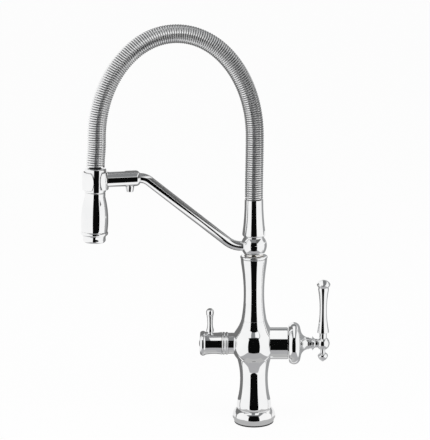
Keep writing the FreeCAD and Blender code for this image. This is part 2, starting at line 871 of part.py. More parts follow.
def arm_spine(body):
    """The arm's centre line: level out of the hub, up the slope, and level into the outlet block."""
    sketch = new_sketch(body, "arm_spine", "XZ_Plane")
    slope = math.radians(number(S.arm_slope))
    low, high = number(S.hub_z), number(S.block_z)
    low_bend, high_bend = number(S.arm_low_bend), number(S.arm_high_bend)
    a = Vector(-number(arm_root()), low, 0)
    b = Vector(-number(arm_root() + S.arm_low_run), low, 0)
    c = b + Vector(-math.sin(slope), 1 - math.cos(slope), 0) * low_bend
    run = (high - c.y - high_bend * (1 - math.cos(slope))) / math.sin(slope)
    d = c + Vector(-math.cos(slope), math.sin(slope), 0) * run
    e = d + Vector(-math.sin(slope), 1 - math.cos(slope), 0) * high_bend
    f = Vector(-number(S.arm_end), high, 0)
    low_arc = arc_geometry(b, c, b + Vector(0, low_bend, 0), False)
    high_arc = arc_geometry(d, e, e - Vector(0, high_bend, 0), True)
    sketch.addGeometry([
        Part.LineSegment(a, b), low_arc[0], Part.LineSegment(c, d), high_arc[0], Part.LineSegment(e, f),
    ], False)
    joins = ((0, 2, 1, low_arc[1]), (1, low_arc[2], 2, 1), (2, 2, 3, high_arc[1]), (3, high_arc[2], 4, 1))
    for join in joins:
        sketch.addConstraint(Sketcher.Constraint("Tangent", *join))
    place_vertex(sketch, 0, 1, arm_root() * -1, S.hub_z)
    place_vertex(sketch, 4, 2, S.arm_end * -1, S.block_z)
    sketch.addConstraint(Sketcher.Constraint("Horizontal", 0))
    sketch.addConstraint(Sketcher.Constraint("Horizontal", 4))
    run_length = Sketcher.Constraint("DistanceX", 0, 2, 0, 1, number(S.arm_low_run))
    bind(sketch, run_length, S.arm_low_run)
    bind(sketch, Sketcher.Constraint("Radius", 1, low_bend), S.arm_low_bend)
    bind(sketch, Sketcher.Constraint("Radius", 3, high_bend), S.arm_high_bend)
    rise = Sketcher.Constraint("Angle", 2, math.pi - slope)
    bind(sketch, rise, Size(180 - number(S.arm_slope), f"180 - {S.arm_slope.text}"))
    return sketch


def arm_tube():
    """The bent tube that carries the outlet block, and filtered water to it."""
    body = new_body("arm_tube")
    spine = arm_spine(body)
    ring = new_sketch(body, "arm_section", "YZ_Plane", arm_root() * -1)
    for radius in (S.arm_r, S.arm_bore_r):
        draw_circle(ring, AXIS, S.hub_z, radius)
    pipe = body.newObject("PartDesign::AdditivePipe", "arm_sweep")
    pipe.Profile = ring
    pipe.Spine = spine
    body.Placement = SPOUT


def block_placement():
    turn = SPOUT.Rotation.multiply(Rotation(Vector(0, 1, 0), -90))
    return Placement(Vector(0, 0, number(S.block_z)), turn)


def outlet_block():
    """The level cylinder between arm and collar, hollowed round where it meets the collar."""
    bore = S.arm_r + S.arm_seat_gap
    front = S.reach - S.collar_bore_r
    body = turned("outlet_block", [
        (bore, S.block_back),
        (S.block_mouth_r, S.block_back),
        (S.block_r, S.block_shoulder, S.block_shoulder_round),
        (S.block_r, front),
        (AXIS, front),
        (AXIS, S.block_bore_end),
        (S.block_bore_r, S.block_bore_end),
        (S.block_bore_r, S.arm_end + S.seat_gap),
        (bore, S.arm_end + S.seat_gap),
    ], block_placement())
    collar_seat = new_sketch(body, "collar_seat", "YZ_Plane", S.block_r * -1)
    draw_circle(collar_seat, AXIS, S.reach, S.collar_r + S.seat_gap)
    hollow = body.newObject("PartDesign::Pocket", "collar_hollow")
    hollow.Profile = collar_seat
    hollow.Reversed = True
    hollow.Length = number(S.block_r * 2)
    hollow.setExpression("Length", (S.block_r * 2).text)
    drilled(body, "outlet_socket", "YZ_Plane", (AXIS, S.outlet_from_axis), S.outlet_tip_r + S.fit_gap,
            AXIS, S.block_r)


def outlet_nozzle():
    """The small filtered-water spout, screwed up into the block."""
    placement = spout_placement(number(S.outlet_from_axis))
    root = S.block_z - S.block_r
    shelf = S.outlet_tip_z + S.outlet_insert_long
    bore = S.outlet_bore_r
    seat = root - S.seat_gap
    edge = S.outlet_round
    turned("outlet_nozzle", [
        (bore, S.outlet_tip_z),
        (S.outlet_tip_r - edge, S.outlet_tip_z),
        (S.outlet_tip_r, S.outlet_tip_z + edge, edge),
        (S.outlet_root_r, seat - S.outlet_collar_tall),
        (S.outlet_root_r, seat),
        (S.outlet_tip_r, seat),
        (S.outlet_tip_r, root + S.outlet_socket),
        (S.outlet_throat_r, root + S.outlet_socket),
        (S.outlet_throat_r, shelf),
        (bore, shelf),
    ], placement)


def outlet_insert():
    """The flow straightener in the small spout."""
    placement = spout_placement(number(S.outlet_from_axis))
    low = S.outlet_tip_z + S.outlet_round
    radius = S.outlet_bore_r - S.seat_gap
    body = turned("outlet_insert", [
        (radius, low),
        (radius, S.outlet_tip_z + S.outlet_insert_long - S.seat_gap),
        (AXIS, S.outlet_tip_z + S.outlet_insert_long - S.seat_gap),
        (AXIS, low),
    ], placement)
    ring = (S.outlet_jet_circle, AXIS)
    hole = drilled(body, "jet", "XY_Plane", ring, S.plate_hole_r, low, S.outlet_insert_long, True)
    repeated(body, hole, S.outlet_jets, "jets")


def docking_collar():
    """The open ring that the head's sleeve sits in, with a slot whose jaws bow towards each other."""
    low = S.collar_low_z
    top = S.collar_low_z + S.collar_tall
    edge = S.collar_round
    body = turned("docking_collar", [
        (S.collar_r - edge, low),
        (S.collar_r, low + edge, edge),
        (S.collar_r, top - edge),
        (S.collar_r - edge, top, edge),
        (S.collar_bore_r, top),
        (S.collar_bore_r, low),
    ], DOCK)
    sketch = new_sketch(body, "slot_shape", "XZ_Plane")
    jaw = S.slot_wide * 0.5 + S.slot_flare
    bow = bow_radius(S.collar_tall * 0.5 + edge, S.slot_flare)
    draw_outline(sketch, [
        (jaw, low - edge),
        (jaw, top + edge, bow * -1),
        (jaw * -1, top + edge),
        (jaw * -1, low - edge, bow * -1),
    ])
    slot = body.newObject("PartDesign::Pocket", "slot")
    slot.Profile = sketch
    slot.Reversed = True
    slot.Length = number(S.collar_r)
    slot.setExpression("Length", S.collar_r.text)
    doc.recompute()
    before = math.pi * (S.collar_r.value ** 2 - S.collar_bore_r.value ** 2) * S.collar_tall.value
    if body.Shape.Volume > before * 0.98:
        raise ValueError("the collar's slot cuts nothing")


def arch_point(station):
    """The hose's centre line out of the column axis: 0 to 1 up the first leg, to 2 over the half ellipse, and
    to 3 down to the sleeve. Both legs lean back a little where the hose bows."""
    near = S.column_sway.value
    far = S.head_sway.value - S.reach.value
    line = S.arch_springing_z.value
    if station <= 1:
        low = S.cone_top_z.value
        return Vector(near * (1 - math.cos(math.pi * station)) / 2, 0, low + (line - low) * station)
    if station <= 2:
        angle = math.pi * (station - 1)
        half = (near - far) / 2
        return Vector(near - half + half * math.cos(angle), 0, line + S.arch_rise.value * math.sin(angle))
    down = station - 2
    foot = sleeve_top()
    share = (1 - math.cos(math.pi * down)) / 2
    return Vector(far + (foot.x - far) * share, 0, line + (foot.z - line) * down)


def sleeve_top():
    """The middle of the head sleeve's top in the arm's own frame."""
    return SPOUT.inverse().multVec(HEAD.multVec(Vector(0, 0, S.sleeve_top_z.value)))


class Route:
    """The arch as evenly measured length, so that turns and stations can be spaced along it."""

    STEPS = 1800

    def __init__(self):
        self.stations = [3 * step / self.STEPS for step in range(self.STEPS + 1)]
        self.lengths = [0.0]
        last = arch_point(0)
        for station in self.stations[1:]:
            point = arch_point(station)
            self.lengths.append(self.lengths[-1] + (point - last).Length)
            last = point
        self.length = self.lengths[-1]

    def station(self, along):
        """The station at this length along the arch."""
        low, high = 0, self.STEPS
        while high - low > 1:
            middle = (low + high) // 2
            low, high = (middle, high) if self.lengths[middle] <= along else (low, middle)
        share = (along - self.lengths[low]) / (self.lengths[high] - self.lengths[low])
        return self.stations[low] + share * (self.stations[high] - self.stations[low])

    def frame(self, along):
        """Point, tangent and inward normal at this length along the arch."""
        along = min(max(along, 0.0), self.length)
        step = self.length / self.STEPS
        point = arch_point(self.station(along))
        ahead = arch_point(self.station(min(along + step, self.length)))
        behind = arch_point(self.station(max(along - step, 0.0)))
        tangent = (ahead - behind).normalize()
        return point, tangent, tangent.cross(Vector(0, 1, 0))


def arc_edge(start, tangent, end):
    """The arc from start along tangent to end, and its tangent at the end."""
    chord = end - start
    along = chord.dot(tangent)
    side = chord - tangent * along
    if side.Length < 1e-6:
        return Part.LineSegment(start, end).toShape(), tangent
    normal = side.normalize()
    radius = chord.dot(chord) / (2 * chord.dot(normal))
    centre = start + normal * radius
    middle = ((start - centre) + (end - centre)).normalize() * radius + centre
    leaving = chord * (2 * along / chord.dot(chord)) - tangent
    return Part.Arc(start, middle, end).toShape(), leaving.normalize()


def biarc(start, start_tangent, end, end_tangent):
    """Two arcs that join the points smoothly, each leaving and arriving along its tangent."""
    chord = end - start
    both = start_tangent + end_tangent
    spread = 2 * (1 - start_tangent.dot(end_tangent))
    lean = chord.dot(both)
    if spread < 1e-9:
        reach = chord.dot(chord) / (4 * chord.dot(end_tangent))
    else:
        reach = (math.sqrt(lean * lean + spread * chord.dot(chord)) - lean) / spread
    middle = (start + end + (start_tangent - end_tangent) * reach) * 0.5
    first, tangent = arc_edge(start, start_tangent, middle)
    second, _ = arc_edge(middle, tangent, end)
    return [first, second]


def polygon_wire(centre, tangent, radius, sides):
    """A regular polygon square to the tangent, one corner towards Y."""
    across = tangent.cross(Vector(0, 1, 0)).normalize()
    other = tangent.cross(across).normalize()
    corners = []
    for index in range(sides + 1):
        angle = 2 * math.pi * index / sides
        corners.append(centre + across * (radius * math.sin(angle)) + other * (radius * math.cos(angle)))
    return Part.makePolygon(corners)


def pipe(edges, profile):
    return Part.Wire(edges).makePipeShell([profile], True, False)


def curl_point(route, turn, first, last):
    """A point of the spring's wire after so many turns, and the wire's direction there."""
    mean_r = S.spring_r.value - S.spring_wire.value / 2
    turns = S.spring_turns.value
    small = 1e-4

    def at(value):
        point, _, normal = route.frame(first + (last - first) * value / turns)
        angle = 2 * math.pi * value
        return point + normal * (mean_r * math.cos(angle)) + Vector(0, 1, 0) * (mean_r * math.sin(angle))

    ahead, behind = at(min(turn + small, turns)), at(max(turn - small, 0.0))
    return at(turn), (ahead - behind).normalize()


def spring_route(route):
    """The wire's arcs: a straight end on the cone sleeve, biarcs of half a turn, and a straight end at the
    head. The turn next to each end has a quarter by itself, so that it doesn't rise into the next one."""
    wire = S.spring_wire.value
    lead = S.spring_lead.value
    first, last = lead, route.length - lead - S.spring_seat_gap.value
    turns = int(S.spring_turns.value)
    counts = [0.25] + [half / 2 for half in range(1, 2 * turns)] + [turns - 0.25]
    up, down = Vector(0, 0, 1), Vector(0, 0, -1)
    start = curl_point(route, 0, first, last)[0]
    start.z = S.cone_top_z.value
    head = curl_point(route, turns, first, last)[0]
    head.z = sleeve_top().z + S.spring_seat_gap.value
    joints = [(start + up * wire, up)]
    joints += [curl_point(route, count, first, last) for count in counts]
    joints.append((head - down * wire, down))
    edges = [Part.LineSegment(start, joints[0][0]).toShape()]
    for here, there in zip(joints, joints[1:]):
        edges += biarc(*here, *there)
    edges.append(Part.LineSegment(joints[-1][0], head).toShape())
    return edges


def least_gap(edges, wire):
    """The wire's least clearance to itself, measured between points at least half a turn apart."""
    points = []
    for edge in edges:
        points += [edge.valueAt(edge.FirstParameter + (edge.LastParameter - edge.FirstParameter) * share / 6)
                   for share in range(6)]
    turn = int(round(4 * 6))
    best = 1e9
    for index, point in enumerate(points):
        for other in points[index + turn // 2:index + 2 * turn]:
            best = min(best, (point - other).Length)
    return best - wire


def spring():
    """The wound spring over the hose, one unbroken wire."""
    edges = spring_route(Route())
    wire = S.spring_wire.value
    profile = polygon_wire(edges[0].valueAt(edges[0].FirstParameter), Vector(0, 0, 1), wire / 2, 4)
    shape = pipe(edges, profile)
    print("spring curls", S.spring_turns.value, "least gap to itself", round(least_gap(edges, wire), 2))
    add_shape("spring", shape, SPOUT)


def inner_hose():
    """The water hose inside the spring, bored, from the union to the head's sleeve."""
    route = Route()
    count = int(S.hose_stations.value)
    frames = [route.frame(route.length * index / count) for index in range(count + 1)]
    base = S.cone_web_z.value + S.seat_gap.value + S.union_long.value - S.hose_into_union.value
    up, down = Vector(0, 0, 1), Vector(0, 0, -1)
    start = Vector(0, 0, base + S.seat_gap.value)
    end = sleeve_top() + down * S.hose_into_sleeve.value
    stops = [(point, tangent) for point, tangent, _ in frames]
    stops[0] = (stops[0][0], up)
    stops[-1] = (stops[-1][0], down)
    edges = [Part.LineSegment(start, stops[0][0]).toShape()]
    for here, there in zip(stops, stops[1:]):
        edges += biarc(*here, *there)
    edges.append(Part.LineSegment(stops[-1][0], end).toShape())
    shapes = []
    for radius in (S.hose_r.value, S.hose_bore_r.value):
        shapes.append(pipe(edges, Part.Wire(Part.makeCircle(radius, start, up))))
    add_shape("inner_hose", shapes[0].cut(shapes[1]), SPOUT)


def add_shape(label, shape, placement):
    solid = shape.Solids[0] if shape.Solids else shape
    feature = doc.addObject("Part::Feature", label)
    feature.Label = label
    feature.Shape = solid
    feature.Placement = placement
    pieces.append(feature)


def head_sleeve():
    """The sleeve on the hose's end that sits in the collar and screws on the head."""
    bore_floor = S.sleeve_top_z - S.sleeve_bore_long
    check = S.check_r + S.fit_gap
    check_floor = S.sleeve_low_z + S.head_spigot_long + S.seat_gap
    spigot = S.head_spigot_r + S.fit_gap
    outer = S.collar_bore_r - S.dock_gap
    edge = S.sleeve_round
    turned("head_sleeve", [
        (outer - edge, S.sleeve_low_z),
        (outer, S.sleeve_low_z + edge, edge),
        (outer, S.sleeve_top_z - edge),
        (outer - edge, S.sleeve_top_z, edge),
        (S.sleeve_bore_r, S.sleeve_top_z),
        (S.sleeve_bore_r, bore_floor),
        (S.hose_bore_r, bore_floor),
        (S.hose_bore_r, check_floor + S.check_long + S.seat_gap),
        (check, check_floor + S.check_long + S.seat_gap),
        (check, check_floor),
        (spigot, check_floor),
        (spigot, S.sleeve_low_z),
    ], HEAD)


def check_valve():
    """The non-return valve in the sleeve."""
    low = S.sleeve_low_z + S.head_spigot_long + S.seat_gap
    top = low + S.check_long
    inner = S.check_bore_r
    step = S.check_r - S.head_wall
    turned("check_valve", [
        (inner, low),
        (S.check_r, low),
        (S.check_r, low + S.check_flange),
        (step, low + S.check_step),
        (step, top),
        (inner, top),
    ], HEAD)


def head_shell():
    """The vase of the spray head, a hollow turned shell."""
    wall = S.head_wall
    spigot_top = S.sleeve_low_z + S.head_spigot_long
    neck_low = S.head_neck_z
    turned("head_shell", [
        (S.head_low_r, S.head_low_z),
        (S.head_belly_r, S.head_belly_z, S.head_belly_sweep),
        (S.head_neck_r, neck_low, TANGENT),
        (S.head_neck_r, S.sleeve_low_z - S.head_neck_round),
        (S.head_neck_r - S.head_neck_round, S.sleeve_low_z, S.head_neck_round),
        (S.head_spigot_r, S.sleeve_low_z),
        (S.head_spigot_r, spigot_top),
        (S.hose_bore_r, spigot_top),
        (S.hose_bore_r, neck_low),
        (S.head_neck_r - wall, neck_low - wall * 2),
        (S.head_belly_r - wall, S.head_belly_z),
        (S.head_low_r - wall, S.head_low_z),
    ], HEAD)


def head_bead():
    """The bead ring that closes the shell and carries the nozzle ring."""
    top = S.head_low_z - S.seat_gap
    bow = bow_radius((top - S.bead_low_z) * 0.5, S.bead_r - S.bead_edge_r)
    turned("head_bead", [
        (S.bead_edge_r, S.bead_low_z),
        (S.bead_edge_r, top, bow),
        (S.bead_bore_r, top),
        (S.bead_bore_r, S.bead_low_z),
    ], HEAD)


def nozzle_ring():
    """The ring at the head's foot that turns to choose stream or spray."""
    top = S.bead_low_z - S.seat_gap
    wall = S.nozzle_wall
    turned("nozzle_ring", [
        (S.nozzle_low_r - wall, S.nozzle_low_z),
        (S.nozzle_low_r, S.nozzle_low_z),
        (S.nozzle_lip_r, S.nozzle_lip_z, S.nozzle_round),
        (S.nozzle_waist_r, S.nozzle_waist_z),
        (S.nozzle_top_r, top),
        (S.nozzle_low_r - wall, top),
    ], HEAD)


def spray_plate():
    """The plate with the spray jets, held in the nozzle ring round the stream insert."""
    low = S.nozzle_low_z + S.plate_up
    top = low + S.plate_thick
    outer = S.nozzle_low_r - S.nozzle_wall - S.seat_gap
    inner = S.stream_r + S.seat_gap
    body = turned("spray_plate", tube_outline(inner, outer, low, top), HEAD)
    hole = drilled(body, "spray_jet", "XY_Plane", (S.plate_hole_circle, AXIS), S.plate_hole_r, low,
                   S.plate_thick, True)
    repeated(body, hole, S.plate_holes, "spray_jets")


def stream_insert():
    """The aerated stream's outlet in the middle of the spray plate."""
    low = S.nozzle_low_z + S.stream_up
    top = low + S.stream_tall
    turned("stream_insert", [
        (S.stream_bore_r, low),
        (S.stream_r, low),
        (S.stream_r, top),
        (AXIS, top),
        (AXIS, top - S.plate_thick),
        (S.stream_bore_r, top - S.plate_thick),
    ], HEAD)


def mixer_sleeve():
    """The plain chrome sleeve over the mixing cartridge."""
    bore = S.branch_bore_r
    edge = S.collar_round
    turned("mixer_sleeve", [
        (bore, S.mixer_sleeve_start),
        (S.sleeve_r, S.mixer_sleeve_start),
        (S.sleeve_r, S.mixer_sleeve_end - edge),
        (S.sleeve_r - edge, S.mixer_sleeve_end, edge),
        (bore, S.mixer_sleeve_end),
    ], MIXER)


def mixer_cartridge():
    """The ceramic cartridge's case, with the throat that its carrier turns in."""
    throat_floor = S.cartridge_end - S.cartridge_throat_deep
    turned("mixer_cartridge", [
        (AXIS, S.cartridge_start),
        (S.cartridge_r, S.cartridge_start),
        (S.cartridge_r, S.cartridge_end),
        (S.cartridge_throat_r, S.cartridge_end),
        (S.cartridge_throat_r, throat_floor),
        (AXIS, throat_floor),
    ], MIXER)


def cartridge_nut():
    """The domed nut that clamps the cartridge and shows in the gap behind the bell."""
    low = S.cartridge_end + S.seat_gap
    turned("cartridge_nut", [
        (S.nut_bore_r, low),
        (S.cartridge_r, low),
        (S.cartridge_r, S.nut_dome_start),
        (S.nut_bore_r, S.nut_dome_end, S.nut_dome_round),
    ], MIXER)


def stem_carrier():
    """The disc that turns in the cartridge and holds the stem's pin."""
    body = turned("stem_carrier", [
        (AXIS, S.carrier_start),
        (S.carrier_r, S.carrier_start),
        (S.carrier_r, S.carrier_end),
        (S.stem_slot_r, S.carrier_end),
        (S.stem_slot_r, S.pivot_x - S.stem_tail - S.pin_r),
        (AXIS, S.pivot_x - S.stem_tail - S.pin_r),
    ], MIXER)
    eye = S.pin_r + S.fit_gap
    drilled(body, "pin_hole", "XZ_Plane", (AXIS, S.pivot_x), eye, S.carrier_r * -1, S.carrier_r * 2, True)


def stem_pin():
    """The cross pin that the stem tilts on, through the carrier."""
    half = S.carrier_r - S.pin_short
    turn = Rotation(Vector(1, 0, 0), 90)
    place = Placement(Vector(number(S.pivot_x), number(half), number(S.branch_z)), turn)
    turned("stem_pin", [(S.pin_r, AXIS), (S.pin_r, half * 2), (AXIS, half * 2), (AXIS, AXIS)], place)


def cartridge_stem():
    """The stem that tilts in the carrier and carries the handle."""
    low = S.pivot_x - S.stem_tail
    body = turned("cartridge_stem", [
        (AXIS, low),
        (S.stem_r, low),
        (S.stem_r, S.bell_socket_end - S.seat_gap),
        (AXIS, S.bell_socket_end - S.seat_gap),
    ], MIXER)
    eye = S.pin_r + S.fit_gap
    drilled(body, "stem_eye", "XZ_Plane", (AXIS, S.pivot_x), eye, S.stem_r * -1, S.stem_r * 2, True)


def mixer_bell():
    """The bell of the handle, hollow behind to clear the sleeve when it tilts, with a flared front."""
    wall_x = S.bell_front_x - S.bell_front_wall
    rim_bow = bow_radius(S.bell_rim_x - S.bell_back, S.bell_rim_r - S.bell_back_r)
    body = turned("mixer_bell", [
        (S.bell_bore_r, S.bell_back),
        (S.bell_back_r, S.bell_back),
        (S.bell_rim_r, S.bell_rim_x, rim_bow),
        (S.bell_front_r, S.bell_front_x, TANGENT),
        (S.bell_flare_r, S.bell_flare_x),
        (S.bell_hub_r, S.bell_hub_x, S.bell_flare_sweep * -1),
        (AXIS, S.bell_hub_x),
        (AXIS, S.bell_socket_end),
        (S.bell_socket_r, S.bell_socket_end),
        (S.bell_socket_r, wall_x),
        (S.bell_bore_r, wall_x),
    ], MIXER)
    grub = S.grub_r + S.fit_gap
    drilled(body, "grub_hole", "YZ_Plane", (AXIS, S.grub_x), grub, S.stem_r, S.bell_front_r, True)


def grub_screw():
    """The set screw under the bell's hub that holds it on the stem."""
    place = Placement(Vector(number(S.grub_x), 0, number(S.branch_z)), Rotation(Vector(1, 0, 0), 180))
    low = S.bell_socket_r + S.seat_gap
    socket = S.grub_socket_r
    socket_floor = low + S.grub_r
    top = low + S.grub_long
    turned("grub_screw", [
        (AXIS, low),
        (S.grub_r, low),
        (S.grub_r, top),
        (socket, top),
        (socket, socket_floor),
        (AXIS, socket_floor),
    ], place)


def handle_neck():
    """The turned neck with its knife-edged ring, between bell and knuckle."""
    start = S.bell_hub_x + S.seat_gap
    half = S.neck_ring_half
    end = S.lever_x - chord_height(S.knuckle_r, S.neck_r) - S.seat_gap
    turned("handle_neck", [
        (AXIS, start),
        (S.neck_root_r, start),
        (S.neck_ring_root_r, S.neck_ring_x - half),
        (S.neck_ring_r, S.neck_ring_x),
        (S.neck_ring_root_r, S.neck_ring_x + half),
        (S.neck_r, S.neck_waist_x, S.neck_sweep * -1),
        (S.neck_r, end),
        (AXIS, end),
    ], MIXER)


def handle_knuckle():
    """The ball that joins neck, lever and finial, cut flat where each meets it."""
    ball = S.knuckle_r
    upper = chord_height(ball, S.lever_neck_r)
    lower = chord_height(ball, S.finial_stem_r) * -1
    body = turned("handle_knuckle", [
        (S.finial_stem_r, lower),
        (ball, AXIS, ball),
        (S.lever_neck_r, upper, ball),
        (AXIS, upper),
        (AXIS, lower),
    ], standing_placement(number(S.lever_x)))
    flat = chord_height(ball, S.neck_r) * -1
    drilled(body, "neck_flat", "YZ_Plane", (AXIS, AXIS), ball, flat, ball)


def mixer_lever():
    """The baluster lever: neck, skirt, long waist, grooved shoulder and domed cap."""
    low = chord_height(S.knuckle_r, S.lever_neck_r) + S.seat_gap
    turned("mixer_lever", [
        (S.lever_neck_r, low),
        (S.lever_neck_r, S.lever_neck_top),
        (S.lever_skirt_r, S.lever_skirt_low),
        (S.lever_skirt_top_r, S.lever_skirt_top),
        (S.lever_waist_r, S.lever_waist_z, S.lever_sweep_low * -1),
        (S.lever_shoulder_r, S.lever_shoulder_z, S.lever_sweep_high * -1),
        (S.lever_groove_r, S.lever_groove_z, S.lever_groove_round),
        (S.lever_cap_r, S.lever_cap_z, S.lever_cap_round),
        (AXIS, S.lever_top_z, bow_radius(S.lever_cap_r, S.lever_top_z - S.lever_cap_z)),
        (AXIS, low),
    ], standing_placement(number(S.lever_x)))


def lever_finial():
    """The small onion finial under the knuckle."""
    low = chord_height(S.knuckle_r, S.finial_stem_r) + S.seat_gap
    turned("lever_finial", [
        (S.finial_stem_r, low),
        (S.finial_stem_r, S.finial_stem_z),
        (S.finial_r, S.finial_z, bow_radius(S.finial_z - S.finial_stem_z, S.finial_r - S.finial_stem_r)),
        (S.finial_tip_r, S.finial_tip_z - S.finial_tip_rise, S.finial_taper),
        (AXIS, S.finial_tip_z, bow_radius(S.finial_tip_r, S.finial_tip_rise)),
        (AXIS, low),
    ], standing_placement(number(S.lever_x), True))


def tap_sleeve():
    """The sleeve between the valve ball and the filter tap's beads."""
    turned("tap_sleeve", [
        (S.tap_sleeve_bore_r, S.tap_sleeve_start),
        (S.tap_sleeve_r, S.tap_sleeve_start),
        (S.tap_sleeve_r, S.tap_sleeve_end),
        (S.tap_sleeve_bore_r, S.tap_sleeve_end),
    ], TAP)


def tap_beads():
    """The double bead that clamps the headwork."""
    low = S.tap_sleeve_end + S.seat_gap
    middle = (low + S.tap_bead_end) * 0.5
    bead = bow_radius((S.tap_bead_end - low) * 0.25, S.tap_bead_r - S.tap_bead_groove_r)
    turned("tap_beads", [
        (S.tap_sleeve_bore_r, low),
        (S.tap_bead_groove_r, low),
        (S.tap_bead_groove_r, middle, bead),
        (S.tap_bead_groove_r, S.tap_bead_end, bead),
        (S.tap_sleeve_bore_r, S.tap_bead_end),
    ], TAP)


def tap_headwork():
    """The quarter-turn ceramic headwork of the filter tap."""
    turned("tap_headwork", [
        (S.spindle_r + S.fit_gap, S.headwork_end),
        (S.spindle_r + S.fit_gap, S.spindle_start - S.seat_gap),
        (AXIS, S.spindle_start - S.seat_gap),
        (AXIS, S.headwork_start),
        (S.headwork_r, S.headwork_start),
        (S.headwork_r, S.headwork_end),
    ], TAP)


def tap_spindle():
    """The spindle that turns in the headwork and carries the spool handle."""
    hole = S.screw_r + S.seat_gap
    floor = S.spindle_end - S.screw_long
    turned("tap_spindle", [
        (AXIS, S.spindle_start),
        (S.spindle_r, S.spindle_start),
        (S.spindle_r, S.spindle_end),
        (hole, S.spindle_end),
        (hole, floor),
        (AXIS, floor),
    ], TAP)


def tap_spool():
    """The spool handle of the filter tap, hollow over the headwork, with a beaded rim at its outer end."""
    rim = bow_radius(S.spool_rim_x - S.spool_flare_x, S.spool_rim_r - S.spool_flare_r)
    socket_floor = S.spool_end - S.spool_socket_deep
    shaft = S.spindle_r + S.seat_gap
    body = turned("tap_spool", [
        (S.spool_bore_r, S.spool_start),
        (S.spool_r, S.spool_start),
        (S.spool_waist_r, S.spool_waist_x, S.spool_sweep_low * -1),
        (S.spool_flare_r, S.spool_flare_x, S.spool_sweep_high * -1),
        (S.spool_rim_r, S.spool_rim_x, rim),
        (S.spool_edge_r, S.spool_end, TANGENT),
        (S.spool_socket_r, S.spool_end),
        (S.spool_socket_r, socket_floor),
        (shaft, socket_floor),
        (shaft, S.spool_bore_end),
        (S.spool_bore_r, S.spool_bore_end),
    ], TAP)
    lever = S.tap_lever_root_r + S.fit_gap
    start = S.tap_lever_root
    drilled(body, "lever_hole", "YZ_Plane", (AXIS, S.tap_lever_x), lever, start, S.spool_rim_r, True)


def tap_screw():
    """The screw that holds the spool on the spindle."""
    seat = S.spindle_end + S.seat_gap
    top = seat + S.screw_head_thick
    socket = S.screw_socket_r
    socket_floor = top - S.screw_socket_r
    turned("tap_screw", [
        (AXIS, S.spindle_end - S.screw_long + S.seat_gap),
        (S.screw_r, S.spindle_end - S.screw_long + S.seat_gap),
        (S.screw_r, seat),
        (S.screw_head_r, seat),
        (S.screw_head_r, top),
        (socket, top),
        (socket, socket_floor),
        (AXIS, socket_floor),
    ], TAP)


def tap_cap():
    """The domed button over the screw."""
    low = S.spool_end - S.cap_skirt
    turned("tap_cap", [
        (AXIS, low),
        (S.cap_r, low),
        (S.cap_r, S.spool_end),
        (AXIS, S.spool_end + S.cap_dome, bow_radius(S.cap_r, S.cap_dome)),
    ], TAP)


def tap_lever():
    """The small lever with its ball top and foot ring, pressed into the spool."""
    turned("tap_lever", [
        (S.tap_lever_root_r, S.tap_lever_root + S.seat_gap),
        (S.tap_lever_root_r, S.tap_lever_foot_low),
        (S.tap_lever_foot_r, S.tap_lever_foot_low + S.tap_lever_foot_round),
        (S.tap_lever_foot_r, S.tap_lever_foot_top),
        (S.tap_lever_stem_r, S.tap_lever_stem_z, S.tap_lever_sweep * -1),
        (S.tap_lever_neck_r, S.tap_lever_neck_z, S.tap_lever_neck_sweep * -1),
        (S.tap_lever_ball_r, S.tap_lever_top_z - S.tap_lever_ball_r, S.tap_lever_ball_round),
        (AXIS, S.tap_lever_top_z, S.tap_lever_ball_r),
        (AXIS, S.tap_lever_root + S.seat_gap),
    ], standing_placement(-number(S.tap_lever_x)))


def root_pieces():
    base_gasket()
    base_flange()
    valve_body()
    column()
    cup_ring()
    swivel_post()
    filter_tube()
    hub_seals()
    swivel_washer()
    post_clip()


def spout_pieces():
    ball_hub()
    cone_sleeve()
    hose_union()
    arm_tube()
    outlet_block()
    outlet_nozzle()
    outlet_insert()
    docking_collar()
    spring()
    inner_hose()


def head_pieces():
    head_sleeve()
    check_valve()
    head_shell()
    head_bead()
    nozzle_ring()
    spray_plate()
    stream_insert()


def mixer_pieces():
    mixer_sleeve()
    mixer_cartridge()
    cartridge_nut()
    stem_carrier()
    stem_pin()
    cartridge_stem()
    mixer_bell()
    grub_screw()
    handle_neck()
    handle_knuckle()
    mixer_lever()
    lever_finial()


def tap_pieces():
    tap_sleeve()
    tap_beads()
    tap_headwork()
    tap_spindle()
    tap_spool()
    tap_screw()
    tap_cap()
    tap_lever()


def check_model():
    """Stops on any object that failed and any piece without a sound solid."""
    for item in doc.Objects:
        if "Invalid" in item.State or "Error" in item.State:
            raise ValueError(f"{item.Name} is {item.State}")
    for piece in pieces:
        shape = piece.Shape
        if shape.isNull() or not shape.isValid() or not shape.Solids:
            raise ValueError(f"{piece.Label} has no sound solid")


def write_parts():
    os.makedirs("parts", exist_ok=True)
    for piece in pieces:
        piece.Shape.exportStep(f"parts/{piece.Label}.step")


root_pieces()
spout_pieces()
head_pieces()
mixer_pieces()
tap_pieces()
doc.recompute()
check_model()
write_parts()
print(len(pieces), "pieces written")
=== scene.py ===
import math

import bpy
from mathutils import Matrix, Vector


